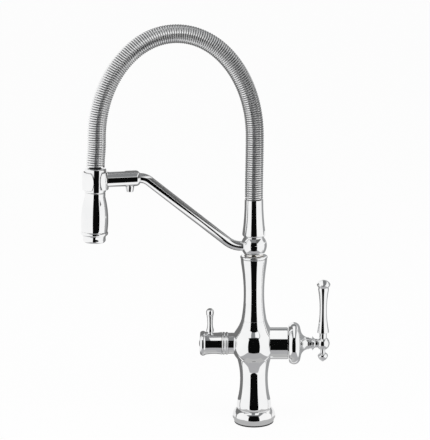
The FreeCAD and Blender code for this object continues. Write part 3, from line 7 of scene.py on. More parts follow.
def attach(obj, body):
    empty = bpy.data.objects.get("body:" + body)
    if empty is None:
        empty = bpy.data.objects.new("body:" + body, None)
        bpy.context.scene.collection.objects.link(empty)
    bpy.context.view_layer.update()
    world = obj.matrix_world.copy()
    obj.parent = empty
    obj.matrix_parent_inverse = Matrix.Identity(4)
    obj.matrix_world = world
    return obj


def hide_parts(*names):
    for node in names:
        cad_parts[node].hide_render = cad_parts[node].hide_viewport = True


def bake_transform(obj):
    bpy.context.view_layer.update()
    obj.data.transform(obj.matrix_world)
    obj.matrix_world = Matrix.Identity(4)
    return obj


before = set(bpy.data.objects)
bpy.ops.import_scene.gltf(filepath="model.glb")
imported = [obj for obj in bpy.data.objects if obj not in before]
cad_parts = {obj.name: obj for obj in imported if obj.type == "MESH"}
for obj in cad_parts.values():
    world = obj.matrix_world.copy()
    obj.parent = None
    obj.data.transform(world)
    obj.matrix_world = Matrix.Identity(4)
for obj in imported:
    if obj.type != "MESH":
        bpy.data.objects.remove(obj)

# A chrome kitchen faucet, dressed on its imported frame. Turned pieces are half sections spun smooth, the
# spring is wound straight and laid along its arch, and a bright studio stands round it. Sizes are
# millimetres, and the pieces and the studio stand in metres.

MM = 0.001
WELD = 0.001 * MM
ROUND_STEPS = 96
ARC_STEP = math.radians(6)
FEWEST_ARC_STEPS = 4
CURVE_STEPS = 32
TUBE_STEPS = 10
EDGE_STEPS = 3
SMOOTH_ANGLE = math.radians(40)
COIL_SMOOTH_ANGLE = math.radians(60)
NOISE_RANGE = (0.3, 0.7)
TANGENT = "tangent"
AXIS = 0.0
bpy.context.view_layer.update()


class S:
    """The faucet's named sizes, as the solids have them."""

    # Foot and base flange
    gasket_thick = 1.5
    flange_r = 28.7
    flange_band_top = 8.8
    flange_round = 1.2
    flange_crown_r = 22.8
    flange_foot_r = 26.9
    flange_foot_top = 5.2
    flange_lip_z = 6.6
    flange_top = 19.5
    foot_r = 20.0
    foot_gap = 0.1
    # Valve body
    body_seat_r = 22.6
    body_belly_round = 24.0
    body_shoulder_r = 22.3
    body_shoulder_z = 30.2
    body_sweep = 127.0
    body_waist_r = 18.5
    body_waist_z = 61.0
    body_neck_r = 22.4
    body_neck_z = 88.6
    branch_z = 109.2
    ball_chamber_r = 29.8
    body_top_flare_r = 24.2
    body_top_flare_sweep = 53.0
    seam_r = 16.7
    seam_z = 142.3
    # Column
    spigot_r = 11.0
    spigot_long = 12.0
    column_bore_r = 8.0
    column_waist_r = 13.5
    column_waist_z = 177.0
    column_sweep = 196.0
    column_shoulder_r = 16.4
    column_shoulder_z = 216.0
    column_top_sweep = 78.0
    column_top_r = 17.4
    column_top_z = 225.8
    cup_r = 18.0
    cup_thick = 3.7
    cup_round = 1.6
    fit_gap = 0.06
    seat_gap = 0.05
    # Swivel post under the ball hub
    post_r = 9.6
    post_base_r = 12.6
    post_base_long = 10.0
    washer_thick = 0.8
    # Ball hub and cone sleeve
    hub_neck_r = 12.3
    hub_ball_r = 17.0
    hub_z = 243.4
    hub_half = 12.1
    hub_wall = 1.1
    cone_foot_r = 15.3
    cone_foot_round = 3.2
    cone_bore_r = 11.2
    cone_web_z = 264.0
    cone_top_r = 12.1
    cone_top_z = 305.2
    cone_sweep = 333.0
    union_r = 10.2
    union_long = 34.0
    # Arm, outlet block and docking collar
    spout_turn = 14.0
    reach = 208.1
    arm_r = 6.35
    arm_low_run = 4.3
    arm_low_bend = 34.0
    arm_slope = 39.7
    arm_high_bend = 20.0
    arm_end = 158.0
    arm_seat_gap = 0.15
    block_z = 340.3
    block_r = 10.0
    block_shoulder = 155.8
    block_shoulder_round = 6.0
    block_back = 151.0
    block_mouth_r = 7.2
    outlet_from_axis = 164.1
    outlet_root_r = 5.9
    outlet_tip_r = 4.7
    outlet_tip_z = 323.2
    outlet_bore_r = 3.6
    outlet_throat_r = 2.5
    outlet_round = 0.5
    outlet_collar_tall = 0.9
    outlet_socket = 4.0
    outlet_insert_long = 3.0
    collar_r = 16.8
    collar_bore_r = 14.4
    collar_low_z = 328.0
    collar_tall = 23.0
    collar_round = 0.9
    slot_wide = 9.0
    slot_flare = 3.4
    dock_gap = 0.75
    head_lean = 2.2
    dock_z = 339.0
    # Spring and hose
    arch_springing_z = 390.2
    arch_rise = 133.2
    column_sway = 1.0
    head_sway = 2.8
    spring_r = 11.95
    spring_seat_gap = 0.3
    hose_bore_r = 4.0
    hose_into_union = 8.0
    hose_into_sleeve = 7.0
    # Spray head
    sleeve_top_z = 355.5
    sleeve_low_z = 324.4
    sleeve_round = 1.6
    sleeve_bore_r = 7.8
    sleeve_bore_long = 12.0
    check_r = 8.0
    check_long = 9.5
    head_neck_r = 13.2
    head_neck_z = 318.8
    head_neck_round = 0.9
    head_wall = 2.2
    head_spigot_r = 10.4
    head_spigot_long = 8.0
    head_belly_r = 17.5
    head_belly_z = 287.0
    head_belly_sweep = 106.0
    head_low_r = 16.7
    head_low_z = 273.9
    bead_r = 17.6
    bead_low_z = 269.2
    bead_edge_r = 16.6
    bead_bore_r = 12.6
    nozzle_top_r = 15.3
    nozzle_waist_r = 14.4
    nozzle_lip_r = 14.7
    nozzle_waist_z = 265.5
    nozzle_lip_z = 262.9
    nozzle_round = 4.0
    nozzle_low_r = 13.2
    nozzle_low_z = 259.9
    nozzle_wall = 1.8
    # Mixer branch
    sleeve_r = 21.2
    branch_bore_r = 17.6
    mixer_sleeve_start = 14.0
    mixer_sleeve_end = 45.3
    cartridge_r = 17.5
    cartridge_end = 32.0
    nut_dome_round = 15.8
    nut_bore_r = 9.3
    nut_dome_end = 46.4
    nut_dome_start = 40.0
    # Mixer handle
    bell_back = 46.6
    bell_back_r = 25.4
    bell_bore_r = 24.2
    bell_rim_r = 28.1
    bell_rim_x = 53.4
    bell_front_x = 61.6
    bell_front_r = 21.4
    bell_front_wall = 3.6
    bell_flare_r = 17.0
    bell_flare_x = 62.6
    bell_flare_sweep = 11.0
    bell_hub_r = 7.8
    bell_hub_x = 73.6
    bell_socket_r = 3.6
    bell_socket_end = 68.0
    neck_ring_r = 9.7
    neck_ring_x = 78.1
    neck_ring_half = 2.0
    neck_root_r = 7.3
    neck_ring_root_r = 6.9
    neck_sweep = 7.0
    neck_r = 5.8
    neck_waist_x = 82.0
    lever_x = 92.0
    knuckle_r = 9.1
    # Mixer lever, heights from the knuckle's centre
    lever_neck_r = 5.1
    lever_neck_top = 14.2
    lever_skirt_r = 8.0
    lever_skirt_low = 15.4
    lever_skirt_top = 18.6
    lever_skirt_top_r = 7.7
    lever_sweep_low = 140.0
    lever_sweep_high = 142.0
    lever_waist_r = 4.9
    lever_waist_z = 47.5
    lever_shoulder_r = 7.3
    lever_shoulder_z = 73.4
    lever_groove_r = 6.9
    lever_groove_z = 76.8
    lever_groove_round = 6.9
    lever_cap_r = 9.3
    lever_cap_round = 7.4
    lever_cap_z = 81.6
    lever_top_z = 87.0
    finial_stem_r = 3.2
    finial_stem_z = 13.4
    finial_r = 7.0
    finial_z = 17.4
    finial_taper = 9.5
    finial_tip_r = 1.7
    finial_tip_rise = 1.2
    finial_tip_z = 25.2
    # Filter tap branch, distances from the column axis
    tap_sleeve_r = 14.0
    tap_sleeve_start = 16.0
    tap_sleeve_end = 34.0
    tap_sleeve_bore_r = 10.2
    tap_bead_r = 15.1
    tap_bead_end = 42.5
    tap_bead_groove_r = 13.8
    spindle_r = 4.0
    spool_start = 42.8
    spool_r = 15.0
    spool_waist_r = 14.1
    spool_waist_x = 52.8
    spool_sweep_low = 52.0
    spool_sweep_high = 52.0
    spool_flare_r = 15.2
    spool_flare_x = 64.7
    spool_rim_r = 16.5
    spool_rim_x = 68.1
    spool_edge_r = 14.6
    spool_end = 71.7
    spool_bore_r = 12.0
    spool_bore_end = 53.0
    spool_socket_r = 6.2
    spool_socket_deep = 7.0
    cap_r = 6.1
    cap_skirt = 3.0
    cap_dome = 1.6
    # Filter lever, heights from the branch axis
    tap_lever_x = 58.4
    tap_lever_root = 7.0
    tap_lever_foot_r = 5.0
    tap_lever_foot_low = 15.4
    tap_lever_foot_top = 18.6
    tap_lever_root_r = 3.4
    tap_lever_stem_r = 3.6
    tap_lever_stem_z = 28.0
    tap_lever_sweep = 26.0
    tap_lever_neck_sweep = 78.0
    tap_lever_neck_r = 4.4
    tap_lever_neck_z = 38.4
    tap_lever_ball_r = 5.1
    tap_lever_ball_round = 11.2
    tap_lever_foot_round = 0.9
    tap_lever_top_z = 48.3
    # Drawn only here
    coil_turns = 168
    coil_wire = 2.4
    coil_sides = 10
    coil_steps = 20
    coil_foot_gap = 0.1
    hose_braid_r = 6.9
    leg_hold = 0.4
    # A handle's share of the radius over a quarter turn
    bend_share = 0.5523
    # The hanging leg's stretch with the head
    stretch_top_z = 505.0
    stretch_foot_gap = 1.0
    # Rounded edges
    edge_round = 0.28
    fine_edge = 0.2
    crisp_edge = 0.15
    bead_edge = 0.12
    knuckle_edge = 0.1
    jaw_edge = 0.55
    slot_cut_deep = 20.16


# Places

def spout_matrix(out=0.0):
    """On the column axis, or out along the arm, with the arm's own turn."""
    turn = math.radians(S.spout_turn)
    foot = Vector((-out * math.cos(turn), -out * math.sin(turn), 0.0))
    return Matrix.Translation(foot) @ Matrix.Rotation(turn, 4, "Z")


def head_matrix():
    """Out at the collar, leaning back in it as the hose pulls."""
    pivot = Matrix.Translation((0.0, 0.0, S.dock_z))
    lean = pivot @ Matrix.Rotation(math.radians(S.head_lean), 4, "Y") @ pivot.inverted()
    return spout_matrix(S.reach) @ lean


def branch_matrix(side):
    """A turned piece's axis laid along +X or -X at the branch height."""
    return Matrix.Translation((0.0, 0.0, S.branch_z)) @ Matrix.Rotation(math.pi / 2 * side, 4, "Y")


def standing_matrix(x, turned_over=False):
    """Upright over the branch's axis, or hanging below it."""
    tip = Matrix.Rotation(math.pi if turned_over else 0.0, 4, "X")
    return Matrix.Translation((x, 0.0, S.branch_z)) @ tip


UP = Matrix.Identity(4)
SPOUT = spout_matrix()
DOCK = spout_matrix(S.reach)
HEAD = head_matrix()
MIXER = branch_matrix(1)
TAP = branch_matrix(-1)


# Outlines

def chord_height(ball, neck):
    """How far from its centre a ball has this smaller radius."""
    return math.sqrt(ball ** 2 - neck ** 2)


def bow_radius(half, rise):
    """Radius of the arc that bows out by this rise over this half span, square to it at the end."""
    return (half ** 2 + rise ** 2) / (2 * rise)


def arc_centre(start, end, bend, direction):
    """Centre and signed radius of the arc between two outline points."""
    chord = end - start
    if bend is TANGENT:
        normal = Vector((-direction.y, direction.x))
        radius = chord.length_squared / (2 * chord.dot(normal))
        return start + normal * radius, radius
    half = chord.length / 2
    normal = Vector((-chord.y, chord.x)).normalized()
    # A half circle's square may round to just below nothing
    rise = math.sqrt(max(bend * bend - half * half, 0.0))
    return (start + end) / 2 + normal * math.copysign(rise, bend), bend


def traced(outline):
    """The outline's points, with each arc followed in short steps. A point is (across, up), with a third
    entry where an arc leads to it: its radius, or TANGENT where it carries on smoothly."""
    points = [Vector(outline[0][:2])]
    direction = None
    for entry in outline[1:]:
        start = points[-1]
        end = Vector(entry[:2])
        if len(entry) < 3:
            points.append(end)
            direction = (end - start).normalized()
            continue
        centre, radius = arc_centre(start, end, entry[2], direction)
        spoke = start - centre
        turn = -spoke.angle_signed(end - centre)
        steps = max(FEWEST_ARC_STEPS, math.ceil(abs(turn) / ARC_STEP))
        for step in range(1, steps + 1):
            points.append(centre + Matrix.Rotation(turn * step / steps, 2) @ spoke)
        points[-1] = end
        last = end - centre
        direction = Vector((-last.y, last.x)).normalized() * math.copysign(1, radius)
    return points


# Making a piece

def pick(piece):
    """Selects this piece alone."""
    bpy.ops.object.select_all(action="DESELECT")
    bpy.context.view_layer.objects.active = piece
    piece.select_set(True)


def new_piece(name, add, location=(0, 0, 0), **shape):
    """A primitive from this operator, selected alone, with its place in its mesh."""
    bpy.ops.object.select_all(action="DESELECT")
    add(location=location, **shape)
    bpy.ops.object.transform_apply(location=True, rotation=True, scale=True)
    piece = bpy.context.object
    piece.name = name
    piece.data.name = name
    return piece


def modify(piece, kind, **settings):
    """Adds a modifier with these settings and applies it."""
    modifier = piece.modifiers.new(kind.lower(), kind)
    for setting, value in settings.items():
        setattr(modifier, setting, value)
    bpy.ops.object.modifier_apply(modifier=modifier.name)


def edit_all():
    """Enters edit mode with everything selected."""
    bpy.ops.object.mode_set(mode="EDIT")
    bpy.ops.mesh.select_all(action="SELECT")


def close_up():
    """Merges doubles, turns the faces outwards and leaves edit mode."""
    bpy.ops.mesh.select_all(action="SELECT")
    bpy.ops.mesh.remove_doubles(threshold=WELD)
    bpy.ops.mesh.normals_make_consistent(inside=False)
    bpy.ops.object.mode_set(mode="OBJECT")


def drawn_section(name, points, closed):
    """A wire that follows the half section, ready in edit mode: one vertex, extruded from point to point."""
    here = points[0]
    start = (here.x * MM, 0.0, here.y * MM)
    piece = new_piece(name, bpy.ops.mesh.primitive_plane_add, start, size=MM)
    edit_all()
    bpy.ops.mesh.merge(type="CENTER")
    way = points[1:] + points[:1] if closed else points[1:]
    for there in way:
        step = (there - here) * MM
        bpy.ops.mesh.extrude_region_move(TRANSFORM_OT_translate={"value": (step.x, 0.0, step.y)})
        here = there
    bpy.ops.mesh.select_all(action="SELECT")
    bpy.ops.mesh.remove_doubles(threshold=WELD)
    return piece


def soften(piece, width):
    """Rounds the sharp edges a little, as polishing does."""
    modify(piece, "BEVEL", width=width * MM, segments=EDGE_STEPS, limit_method="ANGLE",
           angle_limit=SMOOTH_ANGLE)


def turned(name, outline, edge=S.edge_round):
    """A piece spun about Z from its half section, still upright at the origin."""
    points = traced(outline)
    piece = drawn_section(name, points, closed=points[0].x > 0 or points[-1].x > 0)
    bpy.ops.mesh.spin(steps=ROUND_STEPS, angle=math.tau, center=(0, 0, 0), axis=(0, 0, 1))
    close_up()
    if edge:
        soften(piece, edge)
    return piece


def dress(piece, finish):
    """Gives a piece this one finish."""
    piece.data.materials.clear()
    piece.data.materials.append(finish)


def set_in(piece, node, place, body, finish="chrome"):
    """Puts a finished piece in its place on its body, in its finish, instead of its solid."""
    move = place.copy()
    move.translation = place.translation * MM
    piece.data.transform(move)
    bpy.ops.object.shade_smooth_by_angle(angle=SMOOTH_ANGLE)
    modify(piece, "WEIGHTED_NORMAL", keep_sharp=True)
    dress(piece, FINISHES[finish])
    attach(piece, body)
    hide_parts(node)


# Finishes

class Shading:
    """The nodes of a material or a world, with short ways to add and join them."""

    def __init__(self, owner):
        owner.use_nodes = True
        self.nodes = owner.node_tree.nodes
        self.links = owner.node_tree.links

    def feed(self, socket, value):
        """Links another node's output to a socket, or sets a plain value on it."""
        if isinstance(value, bpy.types.NodeSocket):
            self.links.new(value, socket)
        else:
            socket.default_value = value

    def add(self, kind, inputs=None, **settings):
        """A new node with its settings and what its inputs are fed with."""
        node = self.nodes.new("ShaderNode" + kind)
        for setting, value in settings.items():
            setattr(node, setting, value)
        for name, value in (inputs or {}).items():
            self.feed(node.inputs[name], value)
        return node


class Finish(Shading):
    """A material whose patterns follow the piece's own coordinates."""

    def __init__(self, name, metallic=1.0):
        self.material = bpy.data.materials.new(name)
        super().__init__(self.material)
        self.shader = self.nodes["Principled BSDF"]
        self.shader.inputs["Metallic"].default_value = metallic
        self.place = self.add("TexCoord").outputs["Object"]

    def grain(self, scale, detail=3.0, stretch=None):
        """Noise of this scale, or drawn out, finer along an axis by its entry in stretch."""
        place = self.place
        if stretch:
            place = self.add("Mapping", {"Vector": place, "Scale": stretch}).outputs["Vector"]
        return self.add("TexNoise", {"Vector": place, "Scale": scale, "Detail": detail}).outputs["Fac"]

    def tint(self, pattern, dark, light):
        """Colour that runs from dark to light with the pattern."""
        ramp = self.add("ValToRGB", {"Fac": pattern})
        for stop, position, colour in zip(ramp.color_ramp.elements, NOISE_RANGE, (dark, light)):
            stop.position = position
            stop.color = (*colour, 1.0)
        self.feed(self.shader.inputs["Base Color"], ramp.outputs["Color"])

    def roughen(self, pattern, low, high, reach=NOISE_RANGE):
        """Roughness that runs from low to high over this reach of the pattern."""
        spread = self.add("MapRange", {"Value": pattern, "From Min": reach[0], "From Max": reach[1],
                                       "To Min": low, "To Max": high})
        self.feed(self.shader.inputs["Roughness"], spread.outputs["Result"])

    def raise_by(self, pattern, distance, strength):
        """Relief of this depth, in metres."""
        bump = self.add("Bump", {"Height": pattern, "Distance": distance, "Strength": strength})
        self.feed(self.shader.inputs["Normal"], bump.outputs["Normal"])


def polished_chrome():
    """Mirror chrome over a hand-buffed casting: faint haze and buffing lines, and a very shallow wave."""
    finish = Finish("polished_chrome")
    finish.tint(finish.grain(scale=45.0), dark=(0.90, 0.905, 0.91), light=(0.955, 0.955, 0.955))
    finish.roughen(finish.grain(scale=150.0, stretch=(1.0, 1.0, 26.0)), low=0.012, high=0.045)
    finish.raise_by(finish.grain(scale=70.0, detail=1.0), distance=0.00003, strength=0.6)
    return finish.material


def wire_chrome():
    """The spring's drawn wire: chrome with fine draw marks."""
    finish = Finish("wire_chrome")
    marks = finish.grain(scale=900.0, detail=2.0)
    finish.tint(marks, dark=(0.84, 0.845, 0.85), light=(0.94, 0.94, 0.94))
    finish.roughen(marks, low=0.06, high=0.16)
    return finish.material


def turned_brass():
    """Machined brass with the lathe's fine rings."""
    finish = Finish("turned_brass")
    finish.tint(finish.grain(scale=120.0), dark=(0.63, 0.43, 0.17), light=(0.82, 0.61, 0.30))
    waves = finish.add("TexWave", {"Vector": finish.place, "Scale": 900.0, "Distortion": 0.6},
                       bands_direction="Z")
    rings = waves.outputs["Fac"]
    finish.roughen(rings, low=0.2, high=0.34, reach=(0.0, 1.0))
    finish.raise_by(rings, distance=0.00002, strength=0.4)
    return finish.material


def painted_shade_brass():
    """Brass painted nearly black as painted shade for the narrow gap behind the bell, with a faint random
    mottle.
    """
    finish = Finish("painted_shade_brass")
    shade_mottle = finish.grain(scale=160.0)
    finish.tint(shade_mottle, dark=(0.030, 0.024, 0.016), light=(0.060, 0.048, 0.032))
    finish.roughen(shade_mottle, low=0.45, high=0.6)
    return finish.material


def plain_steel():
    """Stainless steel of the clip, pin and screws."""
    finish = Finish("plain_steel")
    marks = finish.grain(scale=260.0, stretch=(1.0, 9.0, 1.0))
    finish.tint(marks, dark=(0.45, 0.46, 0.47), light=(0.62, 0.62, 0.61))
    finish.roughen(marks, low=0.22, high=0.4)
    return finish.material


def black_rubber():
    """Moulded rubber with a dry bloom."""
    finish = Finish("black_rubber", metallic=0.0)
    bloom = finish.grain(scale=210.0)
    finish.tint(bloom, dark=(0.012, 0.012, 0.013), light=(0.045, 0.045, 0.046))
    finish.roughen(bloom, low=0.5, high=0.75)
    finish.raise_by(finish.grain(scale=2600.0, detail=1.0), distance=0.00005, strength=0.5)
    return finish.material


def moulded_plastic():
    """Grey moulded plastic with a fine spark-eroded texture."""
    finish = Finish("moulded_plastic", metallic=0.0)
    finish.tint(finish.grain(scale=90.0), dark=(0.20, 0.205, 0.21), light=(0.27, 0.27, 0.275))
    texture = finish.grain(scale=3200.0, detail=1.0)
    finish.roughen(texture, low=0.38, high=0.55)
    finish.raise_by(texture, distance=0.00004, strength=0.5)
    return finish.material


FINISHES = {
    "chrome": polished_chrome(),
    "brass": turned_brass(),
    # Painted shade: nearly black brass for the gap behind the bell
    "painted_shade": painted_shade_brass(),
    "steel": plain_steel(),
    "rubber": black_rubber(),
    "plastic": moulded_plastic(),
}
WIRE = wire_chrome()

INNER_PIECES = {
    "rubber": ("base_gasket", "hub_seals"),
    "brass": ("swivel_post", "filter_tube", "hose_union", "tap_headwork", "tap_spindle"),
    # The cartridge stem shows through the gap behind the bell and wears the nearly black brass that paints
    # shade there
    "painted_shade": ("cartridge_stem",),
    "steel": ("post_clip", "stem_pin", "grub_screw", "tap_screw"),
    "plastic": ("swivel_washer", "outlet_insert", "check_valve", "spray_plate", "stream_insert",
                "mixer_cartridge", "stem_carrier"),
}


def finish_inner_pieces():
    """The inner solids keep their shapes and get their own finishes."""
    for finish, names in INNER_PIECES.items():
        for name in names:
            dress(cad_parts[name], FINISHES[finish])


# The body, its foot and the column

def base_flange():
    bore = S.foot_r + S.foot_gap
    piece = turned("flange", [
        (bore, S.gasket_thick),
        (S.flange_foot_r - S.flange_round, S.gasket_thick),
        (S.flange_foot_r, S.gasket_thick + S.flange_round, S.flange_round),
        (S.flange_foot_r, S.flange_foot_top),
        (S.flange_r, S.flange_lip_z),
        (S.flange_r, S.flange_band_top),
        (S.flange_crown_r, S.flange_top, TANGENT),
        (bore, S.flange_top),
    ])
    set_in(piece, "base_flange", UP, "base")


def body_casting():
    spigot_bore = S.spigot_r + S.fit_gap
    spigot_floor = S.seam_z - S.spigot_long - S.seat_gap
    flare_z = S.branch_z + chord_height(S.ball_chamber_r, S.body_top_flare_r)
    piece = turned("body_casting", [
        (AXIS, AXIS),
        (S.foot_r, AXIS),
        (S.foot_r, S.flange_top),
        (S.body_seat_r, S.flange_top),
        (S.body_shoulder_r, S.body_shoulder_z, S.body_belly_round),
        (S.body_waist_r, S.body_waist_z, -S.body_sweep),
        (S.body_neck_r, S.body_neck_z, TANGENT),
        (S.body_top_flare_r, flare_z, S.ball_chamber_r),
        (S.seam_r, S.seam_z, -S.body_top_flare_sweep),
        (spigot_bore, S.seam_z),
        (spigot_bore, spigot_floor),
        (AXIS, spigot_floor),
    ], S.crisp_edge)
    set_in(piece, "valve_body", UP, "base")


def tapered_column():
    socket = S.post_base_r + S.fit_gap
    socket_floor = S.column_top_z + S.cup_thick - S.post_base_long
    piece = turned("tapered_column", [
        (S.column_bore_r, S.seam_z - S.spigot_long),
        (S.spigot_r, S.seam_z - S.spigot_long),
        (S.spigot_r, S.seam_z),
        (S.seam_r, S.seam_z),
        (S.column_waist_r, S.column_waist_z, -S.column_sweep),
        (S.column_shoulder_r, S.column_shoulder_z, TANGENT),
        (S.column_top_r, S.column_top_z, S.column_top_sweep),
        (socket, S.column_top_z),
        (socket, socket_floor),
        (S.column_bore_r, socket_floor),
    ], S.crisp_edge)
    set_in(piece, "column", UP, "base")


def column_cup():
    low = S.column_top_z
    high = S.column_top_z + S.cup_thick
    bore = S.post_base_r + S.fit_gap
    edge = S.cup_r - S.cup_round
    piece = turned("column_cup", [
        (bore, low),
        (edge, low),
        (S.cup_r, low + S.cup_round, S.cup_round),
        (S.cup_r, high - S.cup_round),
        (edge, high, S.cup_round),
        (bore, high),
    ])
    set_in(piece, "cup_ring", UP, "base")


# The turning ball, the cone and the arm

def turning_ball():
    low = S.column_top_z + S.cup_thick + S.washer_thick + S.seat_gap
    top = S.hub_z + S.hub_half
    bore = S.post_r + S.fit_gap
    drop = chord_height(S.hub_ball_r, S.hub_neck_r)
    piece = turned("turning_ball", [
        (bore, low),
        (S.hub_neck_r, low),
        (S.hub_neck_r, S.hub_z - drop),
        (S.hub_neck_r, S.hub_z + drop, S.hub_ball_r),
        (S.hub_neck_r, top),
        (bore, top),
    ], S.crisp_edge)
    set_in(piece, "ball_hub", SPOUT, "spout")


def cone():
    low = S.hub_z + S.hub_half
    bore = S.union_r + S.fit_gap
    piece = turned("cone", [
        (S.cone_bore_r, low),
        (S.hub_neck_r, low),
        (S.cone_foot_r, low + S.cone_foot_round, S.cone_foot_round + S.seat_gap),
        (S.cone_top_r, S.cone_top_z, -S.cone_sweep),
        (bore, S.cone_top_z),
        (bore, S.cone_web_z),
        (S.cone_bore_r, S.cone_web_z),
    ])
    set_in(piece, "cone_sleeve", SPOUT, "spout")


def curve_through(name, knots, depth=0.0):
    """A smooth curve through knots of point and handle step, in the upright plane of the arm."""
    data = bpy.data.curves.new(name, "CURVE")
    data.dimensions = "3D"
    data.resolution_u = CURVE_STEPS
    data.bevel_depth = depth * MM
    data.bevel_resolution = TUBE_STEPS
    data.use_fill_caps = depth > 0
    spline = data.splines.new("BEZIER")
    spline.bezier_points.add(len(knots) - 1)
    for bezier, (point, before, after) in zip(spline.bezier_points, knots):
        bezier.handle_left_type = "FREE"
        bezier.handle_right_type = "FREE"
        bezier.co, bezier.handle_left, bezier.handle_right = (
            Vector((place.x, 0.0, place.y)) * MM for place in (point, point - before, point + after))
    curve = bpy.data.objects.new(name, data)
    bpy.context.scene.collection.objects.link(curve)
    return curve


def meshed(curve):
    """The curve's tube as a mesh piece."""
    pick(curve)
    bpy.ops.object.convert(target="MESH")
    edit_all()
    close_up()
    return bpy.context.object


def bent_arm():
    """A level foot, a bend, a straight slope, a bend back and a level end in the block."""
    slope = math.radians(S.arm_slope)
    way = Vector((-math.cos(slope), math.sin(slope)))
    level = Vector((-1.0, 0.0))
    root = Vector((-(S.post_r + S.fit_gap + S.hub_wall), S.hub_z))
    low_start = root + level * S.arm_low_run
    low_end = low_start + Vector((-math.sin(slope), 1 - math.cos(slope))) * S.arm_low_bend
    climb = S.block_z - low_end.y - S.arm_high_bend * (1 - math.cos(slope))
    high_start = low_end + way * (climb / math.sin(slope))
    high_end = high_start + Vector((-math.sin(slope), 1 - math.cos(slope))) * S.arm_high_bend
    end = Vector((-S.arm_end, S.block_z))
    # A handle's share of the radius over the slope's angle
    hold = 4 / 3 * math.tan(slope / 4)
    low_hold, high_hold = hold * S.arm_low_bend, hold * S.arm_high_bend
    still = Vector((0.0, 0.0))
    knots = [
        (root, still, level),
        (low_start, level, level * low_hold),
        (low_end, way * low_hold, way),
        (high_start, way, way * high_hold),
        (high_end, level * high_hold, level),
        (end, level, still),
    ]
    piece = meshed(curve_through("bent_arm", knots, S.arm_r))
    set_in(piece, "arm_tube", SPOUT, "spout")


def cut_away(piece, tool):
    """Cuts the tool's shape out of the piece and takes the tool away."""
    pick(piece)
    modify(piece, "BOOLEAN", operation="DIFFERENCE", solver="EXACT", object=tool)
    bpy.data.objects.remove(tool)


def outlet_block():
    bore = S.arm_r + S.arm_seat_gap
    front = S.reach - S.collar_bore_r
    piece = turned("outlet_block", [
        (AXIS, S.block_shoulder),
        (bore, S.block_shoulder),
        (bore, S.block_back),
        (S.block_mouth_r, S.block_back),
        (S.block_r, S.block_shoulder, S.block_shoulder_round),
        (S.block_r, front),
        (AXIS, front),
    ], edge=None)
    piece.data.transform(Matrix.Translation((0, 0, S.block_z * MM)) @ Matrix.Rotation(-math.pi / 2, 4, "Y"))
    # The hollow for the ring reaches past the block above and below
    hollow = new_piece("collar_hollow", bpy.ops.mesh.primitive_cylinder_add,
                       (-S.reach * MM, 0.0, S.block_z * MM), vertices=ROUND_STEPS,
                       radius=(S.collar_r + S.seat_gap) * MM, depth=S.block_r * 4 * MM)
    cut_away(piece, hollow)
    soften(piece, S.fine_edge)
    set_in(piece, "outlet_block", SPOUT, "spout")


def filter_outlet():
    root = S.block_z - S.block_r
    shelf = S.outlet_tip_z + S.outlet_insert_long
    seat = root - S.seat_gap
    edge = S.outlet_round
    piece = turned("filter_outlet", [
        (S.outlet_bore_r, S.outlet_tip_z),
        (S.outlet_tip_r - edge, S.outlet_tip_z),
        (S.outlet_tip_r, S.outlet_tip_z + edge, edge),
        (S.outlet_root_r, seat - S.outlet_collar_tall),
        (S.outlet_root_r, seat),
        (S.outlet_tip_r, seat),
        (S.outlet_tip_r, root + S.outlet_socket),
        (S.outlet_throat_r, root + S.outlet_socket),
        (S.outlet_throat_r, shelf),
        (S.outlet_bore_r, shelf),
    ], S.crisp_edge)
    set_in(piece, "outlet_nozzle", spout_matrix(S.outlet_from_axis), "spout")


def docking_ring():
    low = S.collar_low_z
    top = S.collar_low_z + S.collar_tall
    edge = S.collar_round
    piece = turned("docking_ring", [
        (S.collar_bore_r, low),
        (S.collar_r - edge, low),
        (S.collar_r, low + edge, edge),
        (S.collar_r, top - edge),
        (S.collar_r - edge, top, edge),
        (S.collar_bore_r, top),
    ], edge=None)
    cut_away(piece, slot_cutter(low - edge, top + edge))
    soften(piece, S.jaw_edge)
    set_in(piece, "docking_collar", DOCK, "spout")


def slot_cutter(low, high):
    """The open slot's shape, waisted where the ring's jaws bow towards each other."""
    jaw = S.slot_wide / 2 + S.slot_flare
    bow = bow_radius((high - low) / 2, S.slot_flare)
    points = traced([(jaw, low), (jaw, high, -bow), (-jaw, high), (-jaw, low, -bow)])
    tool = drawn_section("slot_shape", points, closed=True)
    bpy.ops.mesh.edge_face_add()
    bpy.ops.mesh.extrude_region_move(TRANSFORM_OT_translate={"value": (0.0, -S.slot_cut_deep * MM, 0.0)})
    close_up()
    return tool


# The spring and its hose

def arch_knots(low, drop):
    """The arch's line: up the first leg, over the half ellipse and down to the head's sleeve. Each knot has
    its point and the steps to its handles before and after."""
    near = S.column_sway
    far = S.head_sway - S.reach
    line = S.arch_springing_z
    foot = SPOUT.inverted() @ HEAD @ Vector((0.0, 0.0, S.sleeve_top_z - drop))
    half = (near - far) / 2
    up, out, still = Vector((0.0, 1.0)), Vector((-1.0, 0.0)), Vector((0.0, 0.0))
    rising, falling = (line - low) * S.leg_hold, (line - foot.z) * S.leg_hold
    wide, tall = half * S.bend_share, S.arch_rise * S.bend_share
    return [
        (Vector((0.0, low)), still, up * rising),
        (Vector((near, line)), up * rising, up * tall),
        (Vector((near - half, line + S.arch_rise)), out * wide, out * wide),
        (Vector((far, line)), -up * tall, -up * falling),
        (Vector((foot.x, foot.z)), -up * falling, still),
    ]


def stretch_with_head(piece):
    """Bakes the hanging piece's place into its mesh, where it stays between spout and head."""
    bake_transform(piece)


def hang_in_arch(piece, node, finish, hangs):
    """Turns a piece of the arch to the arm's side, on the spout or hanging between spout and head."""
    piece.data.transform(Matrix.Rotation(math.radians(S.spout_turn), 4, "Z"))
    bpy.ops.object.shade_smooth_by_angle(angle=COIL_SMOOTH_ANGLE)
    dress(piece, finish)
    if hangs:
        stretch_with_head(piece)
    else:
        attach(piece, "spout")
    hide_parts(node)


